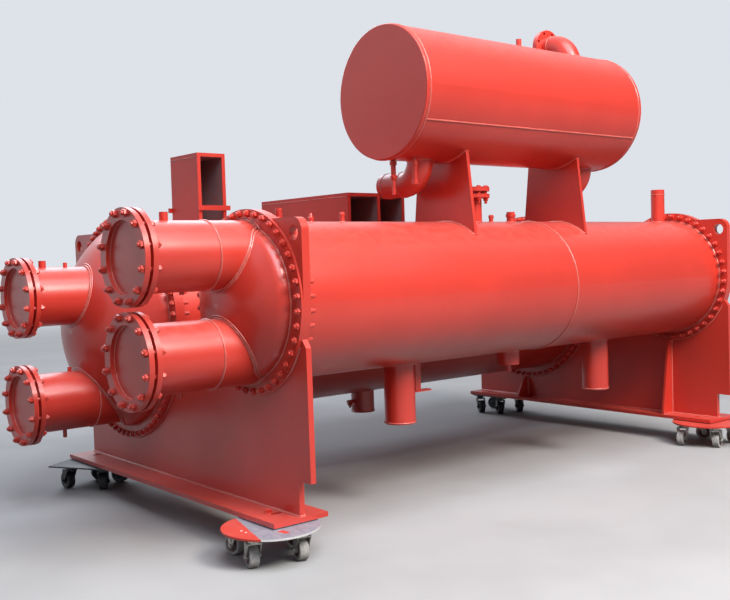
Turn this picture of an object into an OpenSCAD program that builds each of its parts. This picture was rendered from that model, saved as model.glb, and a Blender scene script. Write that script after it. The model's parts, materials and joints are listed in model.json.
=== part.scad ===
// Shell and tube heat exchanger set: two horizontal vessels side by side in shared leg plates,
// a drum on saddles above the smaller one, and four wheeled dollies under the foot plates.
// Millimetres. +Z is up, +Y runs along the vessels from the nozzle end to the return end,
// and the smaller, higher vessel lies on the +X side. The origin is on the floor under the
// middle of the whole set.

/* [Vessels] */
// Distance between the two vessel axes
vessel_spacing = 1315; // [1240:10:1500]
// Clear length of the shells between the front and rear tubesheets
shell_length = 3406; // [3100:10:4000]
// Height of the foot plates' top above the near vessel's axis, counted down
near_axis_height = 949; // [900:1:1100]
// How much lower the far vessel's axis lies
far_axis_drop = 158; // [140:1:200]
// Outer radius of the near shell
near_shell_r = 378; // [360:1:395]
// Outer radius of the far shell
far_shell_r = 563; // [520:1:570]
// Wall of both shells
shell_wall = 12; // [8:1:20]

/* [Tubesheets and water boxes] */
// Radius of the near tubesheet, its water box flange and its return cover flange
near_sheet_r = 436; // [428:1:450]
// Radius of the far tubesheet, its water box flange and its return cover flange
far_sheet_r = 638; // [620:1:650]
// Thickness of a tubesheet
sheet_t = 40; // [30:1:60]
// Thickness of a water box or return cover flange
cover_flange_t = 12; // [10:1:30]
// Radius of the near dished head where it meets its flange
near_dish_r = 358; // [340:1:375]
// Depth of the near dished head
near_dish_depth = 166; // [140:1:200]
// Radius of the far dished head where it meets its flange
far_dish_r = 568; // [540:1:580]
// Depth of the far dished head
far_dish_depth = 312; // [260:1:340]
// Knuckle radius of the dished heads
knuckle_r = 70; // [40:1:90]
// Wall of the dished heads
dish_wall = 12; // [8:1:16]

/* [Lifting ears] */
// Height of the near ear's top above the near axis
near_ear_top = 382; // [370:1:420]
// Height of the far ear's top above the far axis
far_ear_top = 540; // [480:1:560]
// Radius of the rounded top corner of an ear
ear_corner_r = 58; // [40:1:65]
// Radius of a lifting hole
lift_hole_r = 34; // [25:1:40]
// Distance of the far ear's outer edge from the far axis
far_ear_edge = 650; // [638:1:670]
// Distance of a lifting hole's centre from the ear's outer edge
lift_hole_in = 61; // [55:1:90]
// Distance of a lifting hole's centre below the ear's top
lift_hole_down = 69; // [60:1:90]

/* [Water nozzles] */
// Outer radius of a nozzle pipe
nozzle_pipe_r = 159.25; // [150:0.25:165]
// Wall of a nozzle pipe
nozzle_wall = 10; // [6:1:14]
// Outer radius of a nozzle flange
nozzle_flange_r = 215; // [210:1:230]
// Thickness of a nozzle flange
nozzle_flange_t = 24; // [16:1:28]
// Gap between a nozzle flange and the ring bolted in front of it
ring_gap = 14; // [6:1:20]
// Diameter of the nozzle bolt circle
nozzle_pcd = 390; // [384:1:400]
// Bolt holes in a nozzle flange
nozzle_bolts = 12; // [8:4:16]
// Radius of a nozzle bolt hole
nozzle_hole_r = 11.5; // [9:0.5:12.5]
// Outer radius of the gasket between a nozzle flange and its ring
gasket_r = 171; // [165:1:180]
// Width of the gasket
gasket_w = 12; // [8:1:16]
// Bore radius of the front ring, which its blanking disc closes
ring_bore_r = 161; // [155:0.5:170]
// Thickness of a blanking disc
blank_t = 12; // [8:1:14]
// How far a blanking disc sits back from the ring's front face
blank_recess = 5; // [2:1:8]
// Distance of the near front rings from the near water box flange
near_reach = 616; // [540:1:700]
// Distance of the far front rings from the far water box flange
far_reach = 611; // [540:1:700]
// Height of the near nozzles above and below the near axis
near_nozzle_z = 224; // [218:1:228]
// Height of the upper far nozzle above the far axis
far_nozzle_up = 189; // [170:1:215]
// Depth of the lower far nozzle below the far axis
far_nozzle_down = 386; // [300:1:388]

/* [Legs] */
// Thickness of a leg plate
leg_t = 28; // [20:1:36]
// Sideways place of the legs' middle from the middle between the vessels
leg_shift = -79; // [-90:1:0]
// Half width of a leg plate at its lower outer corner
leg_half_w = 1176; // [1160:1:1200]
// How much the outer edge of a leg plate leans out from top to bottom
leg_lean = 5; // [0:1:30]
// Width of the sloped top corner of a leg plate
leg_slope_w = 30; // [20:1:60]
// Height of the sloped top corner of a leg plate
leg_slope_h = 41; // [20:1:60]
// Height of the lower outer corner above the foot plate
leg_corner_z = 160; // [120:5:240]
// How far the notch above the foot plate cuts in from the corner
leg_notch = 92; // [60:1:110]
// Depth below the near axis where the sloped top of a leg plate ends
leg_top_drop = 193; // [160:1:240]
// Top of the leg plate between the two vessels, below the near axis
leg_mid_drop = 330; // [250:5:420]
// Width of a foot plate along the vessels
foot_w = 296; // [260:2:360]
// Half length of a foot plate across the vessels
foot_half_l = 1100; // [1090:1:1200]
// Thickness of a foot plate
foot_t = 22; // [16:1:30]
// How far the foot plate's middle lies outwards of the leg plate's middle
foot_out = 16; // [0:1:40]
// How far a gusset's foot stops short of the foot plate's edge
gusset_short = 8; // [0:1:20]
// Height of a gusset's upright lower end
gusset_lip = 30; // [10:1:60]
// Width of a gusset at its top
gusset_top = 36; // [20:1:60]
// Thickness of a gusset
gusset_t = 16; // [10:1:24]
// Half width of an anchor slot
slot_r = 11; // [9:0.5:14]
// End to end length of an anchor slot
slot_l = 58; // [40:1:60]
// Distance of an anchor slot from the foot plate's end
slot_in = 144; // [100:1:160]
// Distance of a slot's middle from the leg plate's middle
slot_from_leg = 53; // [50:1:60]

/* [Drum] */
// Outer radius of the drum
drum_r = 348; // [330:1:360]
// Wall of the drum
drum_wall = 9; // [6:1:14]
// Overall length of the drum
drum_length = 1787; // [1700:1:2000]
// Height of the drum's axis above the near vessel's axis
drum_rise = 1048; // [1040:1:1120]
// Distance of the drum's front end behind the water box flange's front face
drum_start = 867; // [800:1:900]
// Sideways place of the drum's axis from the near vessel's axis
drum_offset = 0; // [-40:1:40]
// Depth of the flat heads, from their face to the girth weld
head_depth = 26; // [20:1:50]
// Thickness of the flat heads
head_t = 12; // [8:1:20]
// Corner radius of the flat heads
head_corner_r = 6; // [2:1:10]

/* [Saddles] */
// Thickness of a saddle plate
saddle_t = 20; // [10:1:24]
// Distance of the front saddle behind the drum's front end
front_saddle_in = 433; // [380:1:500]
// Distance of the rear saddle behind the drum's front end
rear_saddle_in = 1368; // [1250:1:1450]
// Half width of a saddle where it meets the drum
saddle_top_w = 185; // [150:1:240]
// Half width of a saddle where it meets the shell
saddle_foot_w = 238; // [190:1:280]

/* [Drum pipework] */
// Outer radius of the three elbows on the drum
elbow_pipe_r = 69.9; // [60:0.1:76.3]
// Bend radius of the elbows
elbow_bend_r = 127; // [115:1:140]
// How far the two lower elbows' ends are let into the drum
elbow_sunk = 13; // [5:1:30]
// Distance of the front elbow behind the drum's front end
front_elbow_in = 261; // [240:1:300]
// Distance of the rear elbow behind the drum's front end
rear_elbow_in = 1626; // [1550:1:1650]
// Straight run of a lower elbow's side arm, past the bend
elbow_arm = 161; // [120:1:240]
// Distance of the top elbow behind the drum's front end
top_elbow_in = 1544; // [1450:1:1600]
// Height of the top elbow's arm above the drum's crown
top_arm_rise = 79; // [76:1:127]
// Straight run of the top elbow's arm up to its flanges
top_arm = 35; // [20:1:80]
// Outer radius of the two flanges on the top elbow's arm
top_flange_r = 115; // [105:0.5:118]
// Thickness of each of these flanges
top_flange_t = 16; // [12:1:22]
// Radius of the bolt circle in these flanges
top_bolt_r = 98; // [88:1:104]
// Radius of the open bolt holes in these flanges
top_hole_r = 9.5; // [8:0.5:11]
// Distance of the drum's top nipple behind its front end
top_nipple_in = 1077; // [1000:1:1200]
// Height of the top nipple above the drum's crown
top_nipple_h = 52; // [30:1:80]
// Outer radius of the top nipple
top_nipple_r = 16; // [12:0.5:20]
// Outer radius of the level pipes
level_pipe_r = 13.6; // [10:0.1:17]
// Distance of the first level pipe behind the drum's front end
first_level_in = 68; // [50:1:100]
// Length of the first level pipe below the drum's lowest line
first_level_l = 182; // [140:1:220]
// Length of the cock at its lower end
level_cock_l = 90; // [60:1:110]
// Radius of the cock's body
level_cock_r = 9.5; // [6:0.5:12]
// Distance of the second level pipe behind the drum's front end
second_level_in = 142; // [130:1:165]
// Sideways place of the second level pipe from the drum's axis
second_level_x = 85; // [60:1:100]
// Length of the second level pipe below the drum's lowest line
second_level_l = 129; // [90:1:180]
// Length of the socket at its lower end
level_socket_l = 26; // [15:1:40]
// How far the socket stands proud of the pipe
level_socket_rim = 4; // [2:0.5:8]

/* [Duct boxes] */
// Plate thickness of the duct boxes on the far shell
box_t = 22; // [12:1:30]
// Width of the tall box across the vessels
tall_box_w = 320; // [280:1:360]
// Depth of the tall box along the vessels
tall_box_d = 188; // [160:1:220]
// Height of the tall box's top above the near axis
tall_box_top = 835; // [760:1:880]
// Distance of the tall box behind the front tubesheet
tall_box_y = 378; // [340:1:420]
// Width of the wide box across the vessels
wide_box_w = 957; // [900:1:980]
// Sideways place of the wide box's middle from the far axis
wide_box_off = -15; // [-30:1:10]
// Length of the wide box along the vessels
wide_box_l = 469; // [420:1:520]
// Height of the wide box's top above the near axis
wide_box_top = 598; // [560:1:640]
// Distance of the wide box behind the front tubesheet
wide_box_y = 1252; // [1180:1:1320]
// Distance of the wide box's middle post behind its front plate
post_in = 240; // [200:1:280]
// Width of the clamp bars on the tall box, up and down
bar_w = 28; // [20:1:40]
// Thickness of the clamp bars
bar_t = 12; // [8:1:20]
// Height of the clamp bars' middle above the near axis
bar_height = 513; // [480:1:600]
// How far a clamp bar runs past the tall box at its longer end
bar_past = 21; // [15:1:40]
// How far a clamp bar runs past the tall box at its shorter end
bar_short = 6; // [2:1:14]

/* [Shell pipework] */
// Outer radius of the two drop pipes under the near shell
drop_pipe_r = 82.6; // [76:0.1:85]
// Distance of the first drop pipe behind the front tubesheet
first_drop_in = 884; // [800:1:950]
// Distance of the second drop pipe behind the front tubesheet
second_drop_in = 2558; // [2450:1:2620]
// Depth of the drop pipes' lower ends below the near axis
drop_depth = 688; // [600:1:720]
// Outer radius of the short outlet between them
outlet_r = 65; // [50:0.5:76]
// Distance of the short outlet behind the front tubesheet
outlet_in = 1739; // [1650:1:1850]
// Depth of the short outlet's lower end below the near axis
outlet_depth = 454; // [430:1:500]
// Radius of the outlet's tail pipe
outlet_tail_r = 17; // [12:0.5:22]
// Length of the outlet's tail pipe
outlet_tail_l = 41; // [20:1:60]
// Distance of the far shell's outlet behind the front tubesheet
far_outlet_in = 1702; // [1600:1:1800]
// Outer radius of the far shell's outlet
far_outlet_r = 79; // [70:0.5:84.5]
// Length of the far shell's outlet below its lowest line
far_outlet_l = 144; // [100:1:180]
// Radius of the side cock on the far outlet
far_cock_r = 13; // [9:0.5:17]
// Length of the side cock past the far outlet
far_cock_l = 52; // [30:1:70]
// Depth of the side cock below the far shell's lowest line
far_cock_drop = 66; // [40:1:90]
// Distance of the hanger bracket behind the front tubesheet
hanger_in = 1016; // [990:1:1060]
// Length of the hanger bracket below the near shell's lowest line
hanger_l = 150; // [120:1:200]
// Width of the hanger's upright
hanger_w = 38; // [30:1:50]
// Length of the plate at the hanger's foot
hanger_foot = 82; // [60:1:100]
// Plate thickness of the hanger bracket
hanger_t = 8; // [6:1:12]
// Outer radius of the riser and of the rear stub pipe
riser_r = 44.55; // [38:0.05:50]
// Distance of the riser behind the front tubesheet
riser_in = 1481; // [1450:1:1520]
// Height of the riser's top above the near axis
riser_top = 531; // [500:1:560]
// Outer radius of the riser's two flanges
riser_flange_r = 90; // [80:1:100]
// Thickness of the riser's lower flange
riser_flange_t = 21; // [14:1:24]
// Gap between the riser's flanges
riser_gap = 16; // [8:1:20]
// Thickness of the riser's blind flange
riser_blind_t = 24; // [18:1:32]
// Radius of the bolt circle in the riser's flanges
riser_bolt_r = 74; // [70:1:78]
// Radius of the eight bolt holes in each of the riser's flanges
riser_hole_r = 9; // [6:0.5:10]
// Radius of the gasket between the riser's flanges
riser_gasket_r = 60; // [50:1:64]
// Distance of the rear stub pipe behind the front tubesheet
stub_in = 3280; // [3200:1:3320]
// Height of the rear stub pipe's top above the near axis
stub_top = 595; // [540:1:640]

/* [Small fittings] */
// Distance of the ribbed coupling behind the front tubesheet
coupling_in = 145; // [120:1:180]
// Outer radius of the ribbed coupling
coupling_r = 16; // [12:0.5:20]
// Height of the ribbed coupling above the near shell
coupling_h = 63; // [45:1:80]
// Distance of the cone nipple behind the front tubesheet
cone_in = 334; // [300:1:380]
// Outer radius of the cone nipple and of the plain fittings
fitting_r = 12.5; // [10:0.5:16]
// Height of the cone nipple above the near shell
cone_h = 42; // [30:1:60]
// Distance of the plain socket behind the front tubesheet
socket_in = 531; // [500:1:580]
// Height of the plain socket above the near shell
socket_h = 49; // [30:1:60]
// Distance of the rear socket behind the front tubesheet
rear_socket_in = 1621; // [1590:1:1680]
// Height of the rear socket above the near shell
rear_socket_h = 39; // [30:1:60]
// Distance of the ringed collar behind the front tubesheet
collar_in = 1788; // [1740:1:1850]
// Outer radius of the collar's pipe
collar_r = 24; // [20:0.5:28]
// How far the collar's ring stands proud of its pipe
collar_ring = 5; // [3:0.5:8]
// Height of the ringed collar above the near shell
collar_h = 57; // [40:1:70]
// Outer radius of the couplings on the upper water nozzles
vent_r = 19.5; // [16:0.5:24]
// Height of these couplings above the nozzle pipe
vent_h = 37; // [25:1:50]
// Distance of the near vent coupling in front of the water box flange
near_vent_out = 414; // [340:1:480]
// Distance of the far vent coupling in front of the water box flange
far_vent_out = 455; // [400:1:500]
// Outer radius of the small plugs and nipples on the nozzles
plug_r = 11; // [8:0.5:14]
// Length of a plug past the nozzle pipe
plug_l = 12; // [8:1:30]
// Distance of the plug under the near upper nozzle in front of the flange
near_plug_out = 339; // [300:1:400]
// Length of the drains and the far nipple past the nozzle pipe
drain_l = 24; // [15:1:50]
// Distance of the near lower drain in front of the flange
near_drain_out = 366; // [300:1:420]
// Distance of the nipples on both far nozzles in front of the flange
far_nipple_out = 327; // [310:1:400]
// Distance of the far lower drain in front of the flange
far_drain_out = 368; // [300:1:420]
// Length of the far lower drain past the nozzle pipe
far_drain_l = 42; // [25:1:60]

/* [Dollies] */
// Distance of the front right dolly's middle from the foot plate's end
front_right_in = 81; // [70:1:150]
// Distance of the front right dolly's middle outwards of the foot plate's middle
front_right_out = 111; // [0:1:115]
// Distance of the rear right dolly's middle from the foot plate's end
rear_right_in = 77; // [70:1:150]
// Distance of the rear right dolly's middle inwards of the foot plate's middle
rear_right_back = 61; // [0:1:110]
// Distance of the front left dolly's middle from the foot plate's end
front_left_in = 184; // [175:1:230]
// Distance of the front left dolly's middle outwards of the foot plate's middle
front_left_out = 54; // [0:1:110]
// Distance of the rear left dolly's middle from the foot plate's end
rear_left_in = 153; // [145:1:230]
// Distance of the rear left dolly's middle outwards of the foot plate's middle
rear_left_out = 36; // [0:1:110]
// Diameter of a caster wheel
wheel_d = 100; // [90:1:102]
// Width of a caster wheel's tread
wheel_w = 44; // [30:1:46]
// Rounding of the tread's edges
tread_edge = 5; // [2:1:8]
// Radius of a wheel's hub
hub_r = 16; // [12:1:18]
// How far a hub stands proud of the tread at each side
hub_proud = 3; // [1:0.5:5]
// Radius at which the recess round the hub ends
recess_r = 36; // [28:1:38]
// Depth of the recess round the hub
recess_d = 5; // [2:1:8]
// Radius of a wheel's axle
axle_r = 6; // [5:0.5:8]
// Clearance of the wheel's bore round its axle
axle_gap = 0.05; // [0.02:0.01:0.1]
// Height of a caster from the floor to its mounting plate's top
caster_h = 140; // [136:1:150]
// How far a wheel trails behind its swivel axis
caster_trail = 34; // [25:1:40]
// Thickness of a fork's sheet metal
fork_t = 4; // [3:0.5:6]
// Clearance between a hub's face and the fork
fork_gap = 3; // [2:0.5:5]
// Radius of the swivel race
race_r = 26; // [20:1:30]
// Height of the swivel race
race_h = 18; // [12:1:22]
// Length of a caster's mounting plate
plate_l = 84; // [76:1:100]
// Width of a caster's mounting plate
plate_w = 72; // [64:1:84]
// Thickness of a caster's mounting plate and of its fork's crown
plate_t = 5; // [3:0.5:6]
// Radius of a fork's rounded lower end
cheek_r = 16; // [12:0.5:20]
// How far a fork's crown runs past the swivel axis
crown_back = 22; // [16:1:30]
// How far a fork's crown runs past the wheel's axle
crown_front = 4; // [0:1:10]
// How far an axle stands proud of its fork at each side
axle_end = 7; // [4:0.5:9]
// Thickness of a dolly's deck
deck_t = 9; // [6:1:16]
// Thickness of the packing between a deck and the foot plate
pad_t = 6; // [3:1:10]
// How far the packing stops short of the foot plate's edges
pad_short = 5; // [2:1:12]
// Radius of the round dolly decks
round_deck_r = 221; // [200:1:230]
// Side of the square dolly decks
square_deck = 400; // [380:5:420]
// Side of the square on which the swivel axes of a dolly stand
caster_square = 224; // [216:1:230]

/* [Hidden] */

paint = [0.78, 0.24, 0.18];
steel = [0.62, 0.64, 0.66];
tread = [0.45, 0.45, 0.47];
dark = [0.16, 0.17, 0.19];
$fn = 96;
// Overlap of a cut past the face that it opens
eps = 1;

// Heights above the floor
foot_bottom = caster_h + deck_t + pad_t;
foot_top = foot_bottom + foot_t;
near_z = foot_top + near_axis_height;
far_z = near_z - far_axis_drop;
near_x = vessel_spacing / 2;
far_x = -vessel_spacing / 2;
drum_x = near_x + drum_offset;
drum_z = near_z + drum_rise;
legs_x = leg_shift;

// Stations along the vessels, counted from the front face of the water box flanges
sheet_front = cover_flange_t;
shell_front = sheet_front + sheet_t;
shell_rear = shell_front + shell_length;
sheet_rear = shell_rear + sheet_t;
cover_rear = sheet_rear + cover_flange_t;
leg_front = sheet_front + (sheet_t - leg_t) / 2;
leg_rear = shell_rear + (sheet_t - leg_t) / 2;
front_foot_y = leg_front + leg_t / 2 - foot_out;
rear_foot_y = leg_rear + leg_t / 2 + foot_out;
drum_end = drum_start + drum_length;

// Turn of the rear left dolly, and how far its square deck reaches from its middle along Y
rear_left_turn = 2;
square_reach = square_deck / 2 * (sin(rear_left_turn) + cos(rear_left_turn));

// The set's outer limits, from which the origin is put under its middle
first_x = min(far_x - far_ear_edge, legs_x - leg_half_w);
last_x = max(near_x + near_sheet_r, legs_x + foot_half_l - rear_right_in + round_deck_r);
first_y = -max(near_reach, far_reach);
last_y = max(cover_rear + far_dish_depth, rear_foot_y + rear_left_out + square_reach);
start_x = -(first_x + last_x) / 2;
start_y = -(first_y + last_y) / 2;

// A bar, tube or disc along Y, from station y0 to y1
module along_y(r, y0, y1, x = 0, z = 0) {
    translate([x, y0, z]) rotate([-90, 0, 0]) cylinder(r = r, h = y1 - y0);
}

module tube_y(r, wall, y0, y1, x = 0, z = 0) {
    difference() {
        along_y(r, y0, y1, x, z);
        along_y(r - wall, y0 - eps, y1 + eps, x, z);
    }
}

// Half outline of a dished head: a crown arc that runs into a knuckle arc
module dish_outline(r, depth, knuckle) {
    crown = (pow(r - knuckle, 2) + depth * depth - knuckle * knuckle) / (2 * (depth - knuckle));
    far = 3 * crown;
    intersection() {
        union() {
            intersection() {
                translate([0, depth - crown]) circle(r = crown, $fn = 240);
                polygon([
                    [0, depth - crown], [0, far],
                    [far * (r - knuckle) / crown, far], [(r - knuckle) * 2, crown - depth]
                ]);
            }
            translate([r - knuckle, 0]) circle(r = knuckle);
        }
        square([r + eps, depth + eps]);
    }
}

// A solid dished head standing on the XY plane
module dish(r, depth, knuckle) {
    rotate_extrude() dish_outline(r, depth, knuckle);
}

// A hollow dished head whose face lies at station y and which bulges towards -Y or +Y
module head_at(r, depth, y, way, x, z, wall = 0) {
    translate([x, y, z]) rotate([way < 0 ? 90 : -90, 0, 0])
        difference() {
            dish(r, depth, knuckle_r);
            if (wall > 0)
                translate([0, 0, -eps]) {
                    cylinder(r = r - wall, h = eps);
                    translate([0, 0, eps]) dish(r - wall, depth - wall, knuckle_r - wall);
                }
        }
}

// Places whatever follows at its station
module placed() {
    translate([start_x, start_y, 0]) children();
}

module shell(r, x, z) {
    color(paint) placed() tube_y(r, shell_wall, shell_front, shell_rear, x, z);
}

module near_shell() {
    shell(near_shell_r, near_x, near_z);
}

module far_shell() {
    shell(far_shell_r, far_x, far_z);
}

// A disc with one square ear on its outer upper side, side 1 for +X and -1 for -X
module tubesheet(r, edge, ear_top, side, y, x, z) {
    color(paint) placed()
        translate([x, y, z]) rotate([90, 0, 0]) mirror([0, 0, 1])
            linear_extrude(height = sheet_t) difference() {
                union() {
                    circle(r = r, $fn = 180);
                    scale_x(side) ear_outline(r, edge, ear_top);
                }
                translate([side * (edge - lift_hole_in), ear_top - lift_hole_down])
                    circle(r = lift_hole_r);
            }
}

module scale_x(side) {
    mirror([side < 0 ? 1 : 0, 0]) children();
}

module ear_outline(r, edge, ear_top) {
    bend_z = ear_top - ear_corner_r;
    polygon([
        [0, 0], [r, 0], [edge, bend_z], [edge - ear_corner_r, bend_z],
        [edge - ear_corner_r, ear_top], [0, ear_top]
    ]);
    translate([edge - ear_corner_r, bend_z]) circle(r = ear_corner_r);
}

module near_front_tubesheet() {
    tubesheet(near_sheet_r, near_sheet_r, near_ear_top, 1, sheet_front, near_x, near_z);
}

module far_front_tubesheet() {
    tubesheet(far_sheet_r, far_ear_edge, far_ear_top, -1, sheet_front, far_x, far_z);
}

module near_rear_tubesheet() {
    tubesheet(near_sheet_r, near_sheet_r, near_ear_top, 1, shell_rear, near_x, near_z);
}

module far_rear_tubesheet() {
    tubesheet(far_sheet_r, far_ear_edge, far_ear_top, -1, shell_rear, far_x, far_z);
}

// Nozzle bores through a water box, at the listed heights
module nozzle_bores(x, heights, reach) {
    for (h = heights)
        along_y(nozzle_pipe_r - nozzle_wall, -reach, 0, x, h);
}

module waterbox(sheet_r, dish_r, depth, x, z, heights, reach) {
    color(paint) placed() difference() {
        union() {
            tube_y(sheet_r, sheet_r - dish_r + dish_wall, 0, cover_flange_t, x, z);
            head_at(dish_r, depth, 0, -1, x, z, dish_wall);
        }
        nozzle_bores(x, heights, reach);
    }
}

near_heights = [near_z + near_nozzle_z, near_z - near_nozzle_z];
far_heights = [far_z + far_nozzle_up, far_z - far_nozzle_down];

module near_waterbox() {
    waterbox(near_sheet_r, near_dish_r, near_dish_depth, near_x, near_z, near_heights, near_reach);
}

module far_waterbox() {
    waterbox(far_sheet_r, far_dish_r, far_dish_depth, far_x, far_z, far_heights, far_reach);
}

module return_cover(sheet_r, dish_r, depth, x, z) {
    color(paint) placed() {
        tube_y(sheet_r, sheet_r - dish_r + dish_wall, sheet_rear, cover_rear, x, z);
        head_at(dish_r, depth, cover_rear, 1, x, z, dish_wall);
    }
}

module near_return_cover() {
    return_cover(near_sheet_r, near_dish_r, near_dish_depth, near_x, near_z);
}

module far_return_cover() {
    return_cover(far_sheet_r, far_dish_r, far_dish_depth, far_x, far_z);
}

// Bolt holes of a nozzle flange, straddling its centre lines
module bolt_holes(y0, y1, x, z) {
    for (i = [0:nozzle_bolts - 1]) {
        turn = (i + 0.5) * 360 / nozzle_bolts;
        along_y(nozzle_hole_r, y0 - eps, y1 + eps,
            x + nozzle_pcd / 2 * sin(turn), z + nozzle_pcd / 2 * cos(turn));
    }
}

ring_t = nozzle_flange_t;

// A pipe that seats on the dished head, with a flange at its outer end
module water_nozzle(x, h, reach, dish_r, depth, axis_z) {
    flange_front = -reach + ring_t + ring_gap;
    flange_back = flange_front + nozzle_flange_t;
    difference() {
        union() {
            along_y(nozzle_pipe_r, flange_front, 0, x, h);
            along_y(nozzle_flange_r, flange_front, flange_back, x, h);
        }
        along_y(nozzle_pipe_r - nozzle_wall, flange_front - eps, eps, x, h);
        bolt_holes(flange_front, flange_back, x, h);
        head_at(dish_r, depth, 0, -1, x, axis_z);
    }
}

module near_water_nozzles() {
    color(paint) placed() for (h = near_heights)
        water_nozzle(near_x, h, near_reach, near_dish_r, near_dish_depth, near_z);
}

module far_water_nozzles() {
    color(paint) placed() for (h = far_heights)
        water_nozzle(far_x, h, far_reach, far_dish_r, far_dish_depth, far_z);
}

// The ring bolted in front of a nozzle flange
module nozzle_ring(x, h, reach) {
    difference() {
        along_y(nozzle_flange_r, -reach, -reach + ring_t, x, h);
        along_y(ring_bore_r, -reach - eps, -reach + ring_t + eps, x, h);
        bolt_holes(-reach, -reach + ring_t, x, h);
    }
    // The gasket between the two flanges, inside the bolt circle
    tube_y(gasket_r, gasket_w, -reach + ring_t, -reach + ring_t + ring_gap, x, h);
}

module nozzle_rings() {
    color(paint) placed() {
        for (h = near_heights) nozzle_ring(near_x, h, near_reach);
        for (h = far_heights) nozzle_ring(far_x, h, far_reach);
    }
}

module blanking_disc(x, h, reach) {
    along_y(ring_bore_r, -reach + blank_recess, -reach + blank_recess + blank_t, x, h);
}

module blanking_discs() {
    color(paint) placed() {
        for (h = near_heights) blanking_disc(near_x, h, near_reach);
        for (h = far_heights) blanking_disc(far_x, h, far_reach);
    }
}

// Outline of a leg plate, seen along the vessels, with the tubesheets cut out
module leg_outline() {
    corner_z = foot_top + leg_corner_z;
    top_z = near_z - leg_top_drop;
    slope_z = top_z + leg_slope_h;
    mid_z = near_z - leg_mid_drop;
    base = leg_half_w - leg_notch;
    top = leg_half_w - leg_lean;
    slope = top - leg_slope_w;
    difference() {
        polygon([
            [legs_x - base, foot_top], [legs_x + base, foot_top], [legs_x + base, corner_z],
            [legs_x + leg_half_w, corner_z], [legs_x + top, top_z], [legs_x + slope, slope_z],
            [near_x, slope_z], [near_x, mid_z], [far_x, mid_z], [far_x, slope_z],
            [legs_x - slope, slope_z], [legs_x - top, top_z],
            [legs_x - leg_half_w, corner_z], [legs_x - base, corner_z]
        ]);
        translate([near_x, near_z]) circle(r = near_sheet_r, $fn = 180);
        translate([far_x, far_z]) circle(r = far_sheet_r, $fn = 180);
    }
}

module leg_plate(y) {
    color(paint) placed() translate([0, y + leg_t, 0]) rotate([90, 0, 0])
        linear_extrude(height = leg_t) leg_outline();
}

module front_leg_plate() {
    leg_plate(leg_front);
}

module rear_leg_plate() {
    leg_plate(leg_rear);
}

// A slot along Y, cut through a foot plate
module anchor_slot(x, y) {
    reach = slot_l / 2 - slot_r;
    translate([x, y, foot_bottom - eps]) linear_extrude(height = foot_t + 2 * eps) {
        for (side = [-1, 1]) translate([0, side * reach]) circle(r = slot_r);
        translate([-slot_r, -reach]) square([2 * slot_r, 2 * reach]);
    }
}

// A foot plate whose middle lies at station y, with anchor slots on both sides of the leg plate
module foot_plate(y, leg_y) {
    color(paint) placed() difference() {
        translate([legs_x - foot_half_l, y - foot_w / 2, foot_bottom])
            cube([2 * foot_half_l, foot_w, foot_t]);
        for (side = [-1, 1], row = [-1, 1])
            anchor_slot(legs_x + side * (foot_half_l - slot_in), leg_y + row * slot_from_leg);
    }
}

module front_foot_plate() {
    foot_plate(front_foot_y, leg_front + leg_t / 2);
}

module rear_foot_plate() {
    foot_plate(rear_foot_y, leg_rear + leg_t / 2);
}

// A tapered stiffener under a vessel's axis, on the leg plate's inner face
module gusset(x, z_top, y, way) {
    gusset_foot = foot_w / 2 - foot_out - leg_t / 2 - gusset_short;
    translate([x + gusset_t / 2, y, 0]) rotate([0, -90, 0])
        linear_extrude(height = gusset_t) polygon([
            [foot_top, 0], [foot_top, way * gusset_foot],
            [foot_top + gusset_lip, way * gusset_foot], [z_top, way * gusset_top], [z_top, 0]
        ]);
}

module leg_gussets() {
    near_top = near_z - near_sheet_r;
    far_top = far_z - far_sheet_r;
    color(paint) placed() {
        gusset(near_x, near_top, leg_front + leg_t, 1);
        gusset(far_x, far_top, leg_front + leg_t, 1);
        gusset(near_x, near_top, leg_rear, -1);
        gusset(far_x, far_top, leg_rear, -1);
    }
}

module drum_shell() {
    color(paint) placed()
        tube_y(drum_r, drum_wall, drum_start + head_depth, drum_end - head_depth, drum_x, drum_z);
}

// A flat head with a short skirt and a rounded corner, its face on the XY plane
module flat_head() {
    rotate_extrude() {
        difference() {
            union() {
                translate([0, head_corner_r]) square([drum_r, head_depth - head_corner_r]);
                square([drum_r - head_corner_r, head_depth]);
                translate([drum_r - head_corner_r, head_corner_r]) circle(r = head_corner_r);
            }
            translate([0, head_t]) square([drum_r - drum_wall, head_depth]);
            translate([-drum_r, 0]) square([drum_r, head_depth]);
        }
    }
}

module drum_front_head() {
    color(paint) placed()
        translate([drum_x, drum_start, drum_z]) rotate([-90, 0, 0]) flat_head();
}

module drum_rear_head() {
    color(paint) placed()
        translate([drum_x, drum_end, drum_z]) rotate([90, 0, 0]) flat_head();
}

// A plate between the drum's underside and the shell's top, its middle at station y
module saddle(y) {
    foot_z = near_z + sqrt(pow(near_shell_r, 2) - pow(saddle_foot_w, 2));
    top_z = drum_z - sqrt(pow(drum_r, 2) - pow(saddle_top_w, 2));
    color(paint) placed() translate([0, y + saddle_t / 2, 0]) rotate([90, 0, 0])
        linear_extrude(height = saddle_t) difference() {
            polygon([
                [near_x - saddle_foot_w, foot_z], [near_x + saddle_foot_w, foot_z],
                [drum_x + saddle_top_w, top_z], [drum_x - saddle_top_w, top_z]
            ]);
            translate([near_x, near_z]) circle(r = near_shell_r, $fn = 180);
            translate([drum_x, drum_z]) circle(r = drum_r, $fn = 180);
        }
}

module front_saddle() {
    saddle(drum_start + front_saddle_in);
}

module rear_saddle() {
    saddle(drum_start + rear_saddle_in);
}

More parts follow.
